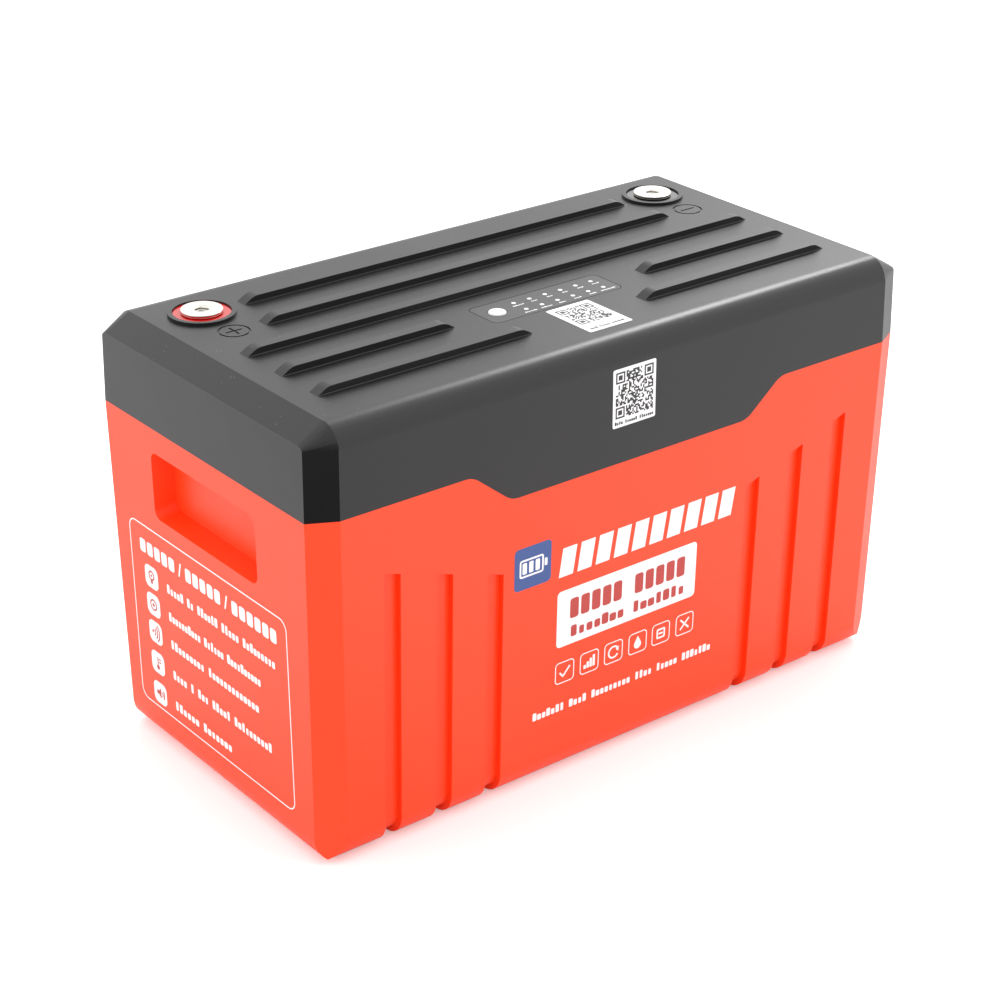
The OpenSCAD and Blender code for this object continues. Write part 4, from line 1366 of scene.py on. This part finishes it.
@dataclass
class SpringDome:
    """The thin metal dome under the push button."""

    node: str = "switch_dome"
    joint: str = "state_button_press"
    thickness: float = 0.2 * MM
    pressed_share: float = 0.42
    columns: int = 40
    rows: int = 8

    def build(self, material: bpy.types.Material) -> bpy.types.Object:
        """Makes the dome in place of its node.

        Args:
            material: Its metal.

        Returns:
            The new object.
        """
        low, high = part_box(self.node)
        foot = Vector(((low.x + high.x) / 2, (low.y + high.y) / 2, low.z))
        rim = (high.x - low.x) / 2
        rise = high.z - low.z
        radius = (rim * rim + rise * rise) / (2 * rise)
        points: list[Vector] = []
        faces: list[list[int]] = []
        for bow_radius, upward in ((radius, True), (radius - self.thickness, False)):
            start = len(points)
            points += self._cap(foot, bow_radius, rise - radius)
            faces += self._cap_faces(start, upward)
        inner = len(points) // 2
        for column in range(self.columns):
            after = (column + 1) % self.columns
            faces.append([column, inner + column, inner + after, after])
        made = piece("spring_dome", points, faces, material)
        made.data.shade_smooth()
        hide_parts(self.node)
        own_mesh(made)
        return made

    def _cap(self, foot: Vector, radius: float, centre_height: float) -> list[Vector]:
        """Gives the points of one side of the dome, from the rim to the top.

        Args:
            foot: The middle of the dome's underside.
            radius: The radius of that side.
            centre_height: The height of the sphere's centre above the foot.

        Returns:
            The points, ring by ring, and the top point last.
        """
        reach = math.acos(-centre_height / radius)
        points = []
        for row in range(self.rows):
            tilt = reach * (1 - row / self.rows)
            height = centre_height + radius * math.cos(tilt)
            for column in range(self.columns):
                angle = 2 * math.pi * column / self.columns
                away = radius * math.sin(tilt)
                points.append(
                    foot + Vector((away * math.cos(angle), away * math.sin(angle), height))
                )
        points.append(foot + Vector((0.0, 0.0, centre_height + radius)))
        return points

    def _cap_faces(self, start: int, upward: bool) -> list[list[int]]:
        """Gives the faces of one side of the dome.

        Args:
            start: The number of its first point.
            upward: Whether the faces look up and out, or down and in.

        Returns:
            The faces.
        """
        faces = []
        for row in range(self.rows):
            ring = start + row * self.columns
            for column in range(self.columns):
                after = (column + 1) % self.columns
                corners = [ring + column, ring + after]
                if row + 1 < self.rows:
                    corners += [ring + self.columns + after, ring + self.columns + column]
                else:
                    corners.append(ring + self.columns)
                faces.append(corners if upward else corners[::-1])
        return faces


@dataclass
class Indicator:
    """The state indicator: overlay film, twelve lamps, and the push button with its switch."""

    lamp_count: int = 6
    lamp_pitch: float = 10.15 * MM
    row_pitch: float = 10.2 * MM
    caption_height: float = 1.05 * MM
    caption_drop: float = 4.3 * MM
    caption_shift: float = 0.14 * MM
    caption_lengths: tuple[tuple[float, ...], ...] = (
        (7.0 * MM, 3.6 * MM, 3.6 * MM, 3.6 * MM, 3.9 * MM, 4.4 * MM),
        (7.6 * MM, 6.8 * MM, 4.4 * MM, 4.8 * MM, 4.6 * MM, 9.4 * MM),
    )
    block_length: float = 0.9 * MM
    button_round: float = 0.00025
    mark_levels: Point2 = (-0.02 * MM, 0.03 * MM)
    mark_radius: float = 2.1 * MM
    mark_bar: Point2 = (0.5 * MM, 2.6 * MM)
    mark_line: float = 0.42 * MM

    def build(self, white: bpy.types.Material, ink: bpy.types.Material) -> None:
        """Dresses the parts, and prints the captions and the button's mark.

        Args:
            white: The white ink of the captions.
            ink: The grey ink of the button's mark.
        """
        film = MouldedPlastic(
            "overlay_film", (0.036, 0.036, 0.037), roughness=0.4, grains_per_metre=3200.0,
            grain_depth=0.000012, tone_shift=0.05, rub=0.0, dust=0.3,
        )
        wear("indicator_film", film.build())
        wear("indicator_lenses", LampLens("lamp_lens").build())
        button = MouldedPlastic(
            "button_white", (0.78, 0.78, 0.77), roughness=0.35, grains_per_metre=3200.0,
            grain_depth=0.00001, tone_shift=0.04, rub_colour=(0.5, 0.5, 0.48), rub=0.1,
        )
        wear("state_button", button.build())
        soften("state_button", self.button_round)
        self._captions(white)
        self._button_mark(ink)
        self._inside()

    def _captions(self, white: bpy.types.Material) -> None:
        """Prints a short line of blocks beside each lamp."""
        low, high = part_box("indicator_lenses")
        first = (low.x + high.x) / 2 - (self.lamp_count - 1) / 2 * self.lamp_pitch
        middle_y = (low.y + high.y) / 2
        film_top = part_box("indicator_film")[1].z
        draft = SheetDraft(level_face(film_top), INK_SINK, INK_LIFT)
        for row, side in enumerate((1, -1)):
            for place in range(self.lamp_count):
                x = first + place * self.lamp_pitch + self.caption_shift
                y = middle_y + side * self.row_pitch / 2 - self.caption_drop
                long = self.caption_lengths[row][place]
                blocks = (round(long / self.block_length),)
                start, end, seed = (x - long / 2, y), x + long / 2, place + 7 * row
                draft.patches(word_blocks(start, end, self.caption_height, blocks, seed))
        draft.build("lamp_captions", white, "film")

    def _button_mark(self, ink: bpy.types.Material) -> None:
        """Prints an open ring with a short bar, the common sign of a power button."""
        low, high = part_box("state_button")
        centre = ((low.x + high.x) / 2, (low.y + high.y) / 2)
        draft = SheetDraft(level_face(high.z), *self.mark_levels)
        draft.patch(stroke(bow(centre, self.mark_radius, 122, 418, 26), self.mark_line))
        bar = [(centre[0], centre[1] + away) for away in self.mark_bar]
        draft.patch(stroke(bar, self.mark_line))
        draft.build("button_mark", ink, "button_white", BUTTON)

    def _inside(self) -> None:
        """Dresses the switch, the small board and what is on it."""
        black = MouldedPlastic("switch_black", (0.02, 0.02, 0.021), roughness=0.4, rub=0.05)
        shared = black.build()
        for node in ("switch_plunger", "switch_housing", "buzzer"):
            wear(node, shared)
        SpringDome().build(WorkedMetal("dome_steel", (0.7, 0.69, 0.67), roughness=0.18).build())
        wear("display_board", CircuitBoard("display_laminate").build())
        wear("display_leds", LampLens("led_body", (0.9, 0.82, 0.5), 0.05).build())
        wear("display_screws", WorkedMetal("screw_zinc", (0.62, 0.62, 0.6), roughness=0.3).build())
        wear(
            "display_cable",
            MouldedPlastic("ribbon_jacket", (0.3, 0.3, 0.31), roughness=0.5, rub=0.0).build(),
        )


# ---------------------------------------------------------------- terminals


@dataclass
class ThreadedStud:
    """A nickel-plated stud with a contact disc, a bevelled mouth and a real internal thread."""

    node: str
    name: str
    disc_thickness: float = 1.7 * MM
    disc_edge: float = 0.35 * MM
    mouth_radius: float = 4.2 * MM
    mouth_depth: float = 0.8 * MM
    crest_radius: float = 3.4 * MM
    root_radius: float = 3.78 * MM
    thread_pitch: float = 1.25 * MM
    thread_depth: float = 14.0 * MM
    shank_radius: float = 7.0 * MM
    screw_radius: float = 3.4 * MM
    screw_depth: float = 5.0 * MM
    columns: int = 96
    rows_per_turn: int = 6

    def build(self, material: bpy.types.Material) -> bpy.types.Object:
        """Makes the stud in place of its node.

        Args:
            material: Its plating.

        Returns:
            The new object.
        """
        low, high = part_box(self.node)
        centre = Vector(((low.x + high.x) / 2, (low.y + high.y) / 2, 0.0))
        disc_radius = (high.x - low.x) / 2
        rows = self._rows(disc_radius, low.z, high.z)
        points: list[Vector] = []
        for radius, z in rows:
            for column in range(self.columns):
                angle = 2 * math.pi * column / self.columns
                r = radius(angle)
                points.append(centre + Vector((r * math.cos(angle), r * math.sin(angle), z)))
        faces: list[list[int]] = []
        for row in range(len(rows) - 1):
            for column in range(self.columns):
                after = (column + 1) % self.columns
                start, end = row * self.columns, (row + 1) * self.columns
                faces.append([start + column, start + after, end + after, end + column])
        first = [self.columns - 1 - i for i in range(self.columns)]
        last = [(len(rows) - 1) * self.columns + i for i in range(self.columns)]
        faces += [first, last]
        made = piece(self.name, points, faces, material)
        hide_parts(self.node)
        made.data.shade_smooth()
        even = made.modifiers.new("even_shading", "WEIGHTED_NORMAL")
        even.weight = 90
        return made

    def _rows(
        self, disc_radius: float, foot: float, top: float
    ) -> list[tuple[Callable[[float], float], float]]:
        """Gives the stud's rows, from the thread's floor up, over the disc and down to the foot.

        Args:
            disc_radius: The contact disc's radius.
            foot: The height of the shank's lower end.
            top: The height of the contact face.

        Returns:
            Each row's radius, as a function of the angle, and its height.
        """

        def plain(radius: float) -> Callable[[float], float]:
            """Gives a radius that is the same all round."""
            return lambda angle: radius

        def threaded(z: float) -> Callable[[float], float]:
            """Gives the radius of the thread's wall at a height."""

            def wall(angle: float) -> float:
                """Gives the wall's radius at an angle, between crest and root."""
                turn = (z / self.thread_pitch - angle / (2 * math.pi)) % 1.0
                depth = 1.0 - abs(2.0 * turn - 1.0)
                return self.crest_radius + (self.root_radius - self.crest_radius) * min(
                    1.0, 1.25 * depth
                )

            return wall

        floor = top - self.thread_depth
        rows = [(plain(self.crest_radius), floor)]
        threaded_top = top - self.mouth_depth
        step = self.thread_pitch / self.rows_per_turn
        count = int((threaded_top - floor - 2 * step) / step)
        rows += [(threaded(floor + (i + 1) * step), floor + (i + 1) * step) for i in range(count)]
        rows.append((plain(self.crest_radius), threaded_top))
        rows.append((plain(self.mouth_radius), top))
        for i in range(5):
            angle = math.radians(90 - 22.5 * i)
            reach = disc_radius - self.disc_edge * (1 - math.cos(angle))
            rows.append((plain(reach), top - self.disc_edge * (1 - math.sin(angle))))
        under = top - self.disc_thickness
        for i in range(5):
            angle = math.radians(22.5 * i)
            reach = disc_radius - self.disc_edge * (1 - math.cos(angle))
            rows.append((plain(reach), under + self.disc_edge * (1 - math.sin(angle))))
        rows.append((plain(self.shank_radius), under))
        rows.append((plain(self.shank_radius), foot))
        rows.append((plain(self.screw_radius), foot))
        rows.append((plain(self.screw_radius), foot + self.screw_depth))
        return rows


@dataclass
class Terminals:
    """Both terminals with their coloured rings and the fastenings under the deck."""

    ring_round: float = 0.0004

    def build(self) -> None:
        """Makes the studs and dresses the rest."""
        for sign, ring_finish in (
            ("positive", MouldedPlastic(
                "ring_red", (0.6, 0.010, 0.008), roughness=0.12, grains_per_metre=1200.0,
                grain_depth=0.00001, tone_shift=0.05, rub=0.0, coat=0.2,
            )),
            ("negative", MouldedPlastic(
                "ring_black", (0.018, 0.018, 0.019), roughness=0.18, grains_per_metre=1200.0,
                grain_depth=0.00001, tone_shift=0.05, rub=0.0, coat=0.6,
            )),
        ):
            low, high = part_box(f"{sign}_terminal")
            centre = ((low.x + high.x) / 2, (low.y + high.y) / 2)
            plating = WorkedMetal(
                f"{sign}_nickel", (0.8, 0.78, 0.73), roughness=0.24, tarnish=(0.42, 0.38, 0.32),
                tarnish_share=0.25, mark_depth=0.00001, turned_about=centre,
            )
            ThreadedStud(f"{sign}_terminal", f"{sign}_stud").build(plating.build())
            wear(f"{sign}_ring", ring_finish.build())
            soften(f"{sign}_ring", self.ring_round)
        zinc = WorkedMetal("fastener_zinc", (0.62, 0.62, 0.6), roughness=0.3).build()
        for node in ("terminal_washers", "terminal_nuts", "terminal_screws"):
            wear(node, zinc)
        wear(
            "terminal_seals",
            SoftFoam("terminal_seal_rubber", (0.025, 0.025, 0.025), 1500.0).build(),
        )


# ---------------------------------------------------------------- inner parts


@dataclass
class CellPack:
    """The eight cells and what holds and joins them."""

    cell_count: int = 8

    def build(self) -> None:
        """Dresses the pack's parts."""
        wrap = ShrunkFilm("cell_film", (0.02, 0.09, 0.38)).build()
        for number in range(1, self.cell_count + 1):
            wear(f"cell_{number}", wrap)
        wear("cell_sheets", PrintedInk("fibre_sheet", (0.62, 0.56, 0.38), 0.8, 0.2).build())
        wear("cell_top_plate", ShrunkFilm("glass_laminate", (0.45, 0.38, 0.1), 0.4, 160.0).build())
        plate = WorkedMetal("rolled_aluminium", (0.72, 0.73, 0.74), roughness=0.34).build()
        wear("end_plate_left", plate)
        wear("end_plate_right", plate)
        wear("cell_straps", WorkedMetal("band_steel", (0.58, 0.58, 0.58), roughness=0.3).build())
        foam = SoftFoam("closed_foam", (0.06, 0.06, 0.065)).build()
        wear("bottom_pad", foam)
        wear("end_pads", foam)
        copper = WorkedMetal(
            "link_copper", (0.78, 0.4, 0.24), roughness=0.28, tarnish=(0.3, 0.12, 0.06)
        ).build()
        for node in ("cell_links", "positive_link"):
            wear(node, copper)
        wear("link_screws", WorkedMetal("link_zinc", (0.64, 0.64, 0.62), roughness=0.28).build())


class ProtectionBoard:
    """The protection board on its carrier, with its power parts and the radio module."""

    def build(self) -> None:
        """Dresses the board's parts."""
        wear(
            "board_carrier",
            MouldedPlastic("carrier_nylon", (0.7, 0.7, 0.68), roughness=0.5, rub=0.1).build(),
        )
        wear("bms_board", CircuitBoard("board_laminate").build())
        wear(
            "bms_transistors",
            MouldedPlastic(
                "transistor_epoxy", (0.016, 0.016, 0.017), roughness=0.5, rub=0.1
            ).build(),
        )
        wear(
            "bms_heatsink",
            WorkedMetal("extruded_aluminium", (0.66, 0.66, 0.67), roughness=0.38).build(),
        )
        wear(
            "bms_connectors",
            MouldedPlastic("connector_nylon", (0.74, 0.72, 0.62), roughness=0.45, rub=0.05).build(),
        )
        zinc = WorkedMetal("board_zinc", (0.6, 0.6, 0.58), roughness=0.3).build()
        wear("bms_screws", zinc)
        wear("bms_nuts", zinc)
        wear("bms_posts", WorkedMetal("post_brass", (0.76, 0.55, 0.24), roughness=0.3).build())
        radio = CircuitBoard(
            "radio_laminate", lacquer=(0.008, 0.03, 0.16), copper=(0.016, 0.06, 0.26)
        )
        wear("wireless_module", radio.build())


class Wiring:
    """The cables, lugs, sense wires and temperature probes inside."""

    def build(self) -> None:
        """Dresses the wiring."""
        jacket = MouldedPlastic(
            "cable_jacket", (0.02, 0.02, 0.021), roughness=0.55, rub=0.0, grain_depth=0.00006
        )
        black = jacket.build()
        for node in ("supply_cable", "pack_cable", "temperature_probes"):
            wear(node, black)
        thin = MouldedPlastic("wire_jacket", (0.5, 0.03, 0.015), roughness=0.45, rub=0.0)
        wear("sense_wires", thin.build())
        wear("cable_lugs", WorkedMetal("lug_copper", (0.74, 0.66, 0.58), roughness=0.3).build())


# ---------------------------------------------------------------- studio


@dataclass
class Studio:
    """Plain floor, one soft light, the white surround and the camera.

    The surround and the floor are dim in one sector, so that the near side has something dark
    to reflect. Angles are in degrees, and azimuth 0 is straight in front of the long side.
    """

    azimuth: float = -38.3261
    elevation: float = 25.8444
    roll: float = 0.1839
    distance: float = 1.27653
    target: Vector = field(default_factory=lambda: Vector((-0.001635, 0.007477, 0.10762)))
    focal_length: float = 84.84
    sensor: float = 36.0
    floor_half: float = 6.0
    floor_tones: Point2 = (0.9, 0.92)
    dim_right: Point2 = (-0.05, -0.17)
    dim_back: Point2 = (-0.05, -0.2)
    softbox_place: tuple[float, float, float] = (1.05, 0.62, 1.2)
    softbox_size: Point2 = (0.4, 0.4)
    softbox_power: float = 9.0
    softbox_aim: tuple[float, float, float] = (0.0, 0.0, 0.1)
    surround: float = 1.42
    dim_share: float = 0.3
    floor_lift: float = 0.23
    dark_azimuth: float = -118.0
    dark_half_angle: float = 42.0
    dark_fade: float = 14.0
    dark_heights: Point2 = (0.08, 0.36)
    dark_share: float = 0.01
    high_share: float = 0.3

    def build(self) -> None:
        """Makes the floor, the light, the surround and the camera."""
        self._floor()
        self._light()
        self._world()
        self._camera()

    def _floor(self) -> None:
        """Makes a plain pale floor just under the housing."""
        material, graph, shader = shell_of("pale_floor")
        cloud = graph.group(EFFECTS.slow_mottle(), Clouds_per_metre=2.0).outputs["Mask"]
        pale = graph.blend(cloud, *((tone, tone, tone) for tone in self.floor_tones))
        place = graph.add("SeparateXYZ")
        graph.feed(place, 0, graph.add("NewGeometry").outputs["Position"])
        beside = graph.remap(place.outputs["X"], *self.dim_right, 0.0, 1.0)
        before = graph.remap(place.outputs["Y"], *self.dim_back, 0.0, 1.0)
        mask = graph.math("MULTIPLY", beside, before)
        dimmed = graph.math("MULTIPLY", mask, graph.add("LightPath").outputs["Is Glossy Ray"])
        shade = self.dark_share * 0.9
        graph.feed(shader, "Base Color", graph.blend(dimmed, pale, (shade, shade, shade)))
        seen = graph.math(
            "MULTIPLY", graph.add("LightPath").outputs["Is Camera Ray"], self.floor_lift
        )
        graph.fill(
            shader,
            Emission_Color=(1.0, 1.0, 1.0),
            Emission_Strength=seen,
            Roughness=0.7,
            Specular_IOR_Level=0.1,
        )
        mesh = bpy.data.meshes.new("floor")
        h = self.floor_half
        mesh.from_pydata([(-h, -h, 0), (h, -h, 0), (h, h, 0), (-h, h, 0)], [], [(0, 1, 2, 3)])
        mesh.materials.append(material)
        floor = bpy.data.objects.new("floor", mesh)
        bpy.context.scene.collection.objects.link(floor)

    def _light(self) -> None:
        """Makes the one soft light, high behind the right end."""
        data = bpy.data.lights.new("overhead_softbox", "AREA")
        data.shape = "RECTANGLE"
        data.size, data.size_y = self.softbox_size
        data.energy = self.softbox_power
        lamp = bpy.data.objects.new("overhead_softbox", data)
        lamp.location = self.softbox_place
        lamp.rotation_mode = "QUATERNION"
        away = Vector(self.softbox_place) - Vector(self.softbox_aim)
        lamp.rotation_quaternion = away.to_track_quat("Z", "Y")
        bpy.context.scene.collection.objects.link(lamp)

    def _dark_side(self, graph: Graph, direction: bpy.types.NodeSocket) -> bpy.types.NodeSocket:
        """Gives where the studio is dark, seen from the object.

        Args:
            graph: The graph that needs the mask.
            direction: A vector that points away from the object.

        Returns:
            A mask that is 1 in the middle of the dark sector.
        """
        level = graph.add("VectorMath", {"operation": "MULTIPLY"})
        graph.feed(level, 0, direction)
        graph.feed(level, 1, (1.0, 1.0, 0.0))
        unit = graph.add("VectorMath", {"operation": "NORMALIZE"})
        graph.feed(unit, 0, level.outputs["Vector"])
        angle = math.radians(self.dark_azimuth)
        facing = graph.add("VectorMath", {"operation": "DOT_PRODUCT"})
        graph.feed(facing, 0, unit.outputs["Vector"])
        graph.feed(facing, 1, (math.cos(angle), math.sin(angle), 0.0))
        edge = math.cos(math.radians(self.dark_half_angle + self.dark_fade))
        core = math.cos(math.radians(self.dark_half_angle - self.dark_fade))
        return graph.remap(facing.outputs["Value"], edge, core, 0.0, 1.0)

    def _world(self) -> None:
        """Makes the white surround; the dim sector fades with height and is never seen itself."""
        world = bpy.data.worlds.new("white_surround")
        world.use_nodes = True
        bpy.context.scene.world = world
        graph = Graph(world.node_tree)
        shade = world.node_tree.nodes["Background"]
        direction = graph.add("TexCoord").outputs["Generated"]
        height = graph.add("SeparateXYZ")
        graph.feed(height, 0, direction)
        low_down = graph.remap(height.outputs["Z"], *self.dark_heights, 1.0, self.high_share)
        mask = graph.math("MULTIPLY", self._dark_side(graph, direction), low_down)
        rays = graph.add("LightPath")
        glossy = graph.math("MULTIPLY", mask, rays.outputs["Is Glossy Ray"])
        dimmed = graph.math("MAXIMUM", glossy, graph.math("MULTIPLY", mask, self.dim_share))
        hidden = graph.math(
            "MULTIPLY", dimmed, graph.math("SUBTRACT", 1.0, rays.outputs["Is Camera Ray"])
        )
        strength = graph.remap(hidden, 0.0, 1.0, self.surround, self.surround * self.dark_share)
        graph.fill(shade, Color=(1.0, 1.0, 1.0), Strength=strength)

    def _camera(self) -> None:
        """Makes the camera at the chosen viewing angle."""
        azimuth, elevation, roll = (
            math.radians(v) for v in (self.azimuth, self.elevation, self.roll)
        )
        back = Vector((
            math.sin(azimuth) * math.cos(elevation),
            -math.cos(azimuth) * math.cos(elevation),
            math.sin(elevation),
        ))
        level = Vector((0.0, 0.0, 1.0)).cross(back).normalized()
        upright = back.cross(level)
        right = level * math.cos(roll) + upright * math.sin(roll)
        up = back.cross(right)
        data = bpy.data.cameras.new("camera")
        data.lens = self.focal_length
        data.sensor_width = self.sensor
        data.clip_start = 0.05
        data.clip_end = 50.0
        camera = bpy.data.objects.new("camera", data)
        turn = Matrix((right, up, back)).transposed().to_4x4()
        camera.matrix_world = Matrix.Translation(self.target + back * self.distance) @ turn
        bpy.context.scene.collection.objects.link(camera)
        bpy.context.scene.camera = camera
        bpy.context.scene.view_settings.view_transform = "Standard"


def main() -> None:
    """Builds the sub-assemblies in order."""
    logging.basicConfig(level=logging.INFO, format="%(name)s: %(message)s")
    Studio().build()
    housing = Housing()
    housing.dress()
    white = PrintedInk("ink_white", (0.92, 0.90, 0.90), roughness=0.45).build()
    blue = PrintedInk("ink_blue", (0.045, 0.095, 0.29), roughness=0.45).build()
    red = PrintedInk("ink_red", (0.5, 0.055, 0.045), roughness=0.5).build()
    dark = PrintedInk("ink_dark", (0.028, 0.028, 0.03), roughness=0.5).build()
    grey = PrintedInk("ink_grey", (0.36, 0.36, 0.37), roughness=0.5).build()
    FrontPrint(housing).build(white, blue, red)
    EndPrint(housing).build(white, red)
    Labels(housing).build(dark)
    Indicator().build(white, grey)
    Terminals().build()
    CellPack().build()
    ProtectionBoard().build()
    Wiring().build()


if __name__ == "__main__":
    main()
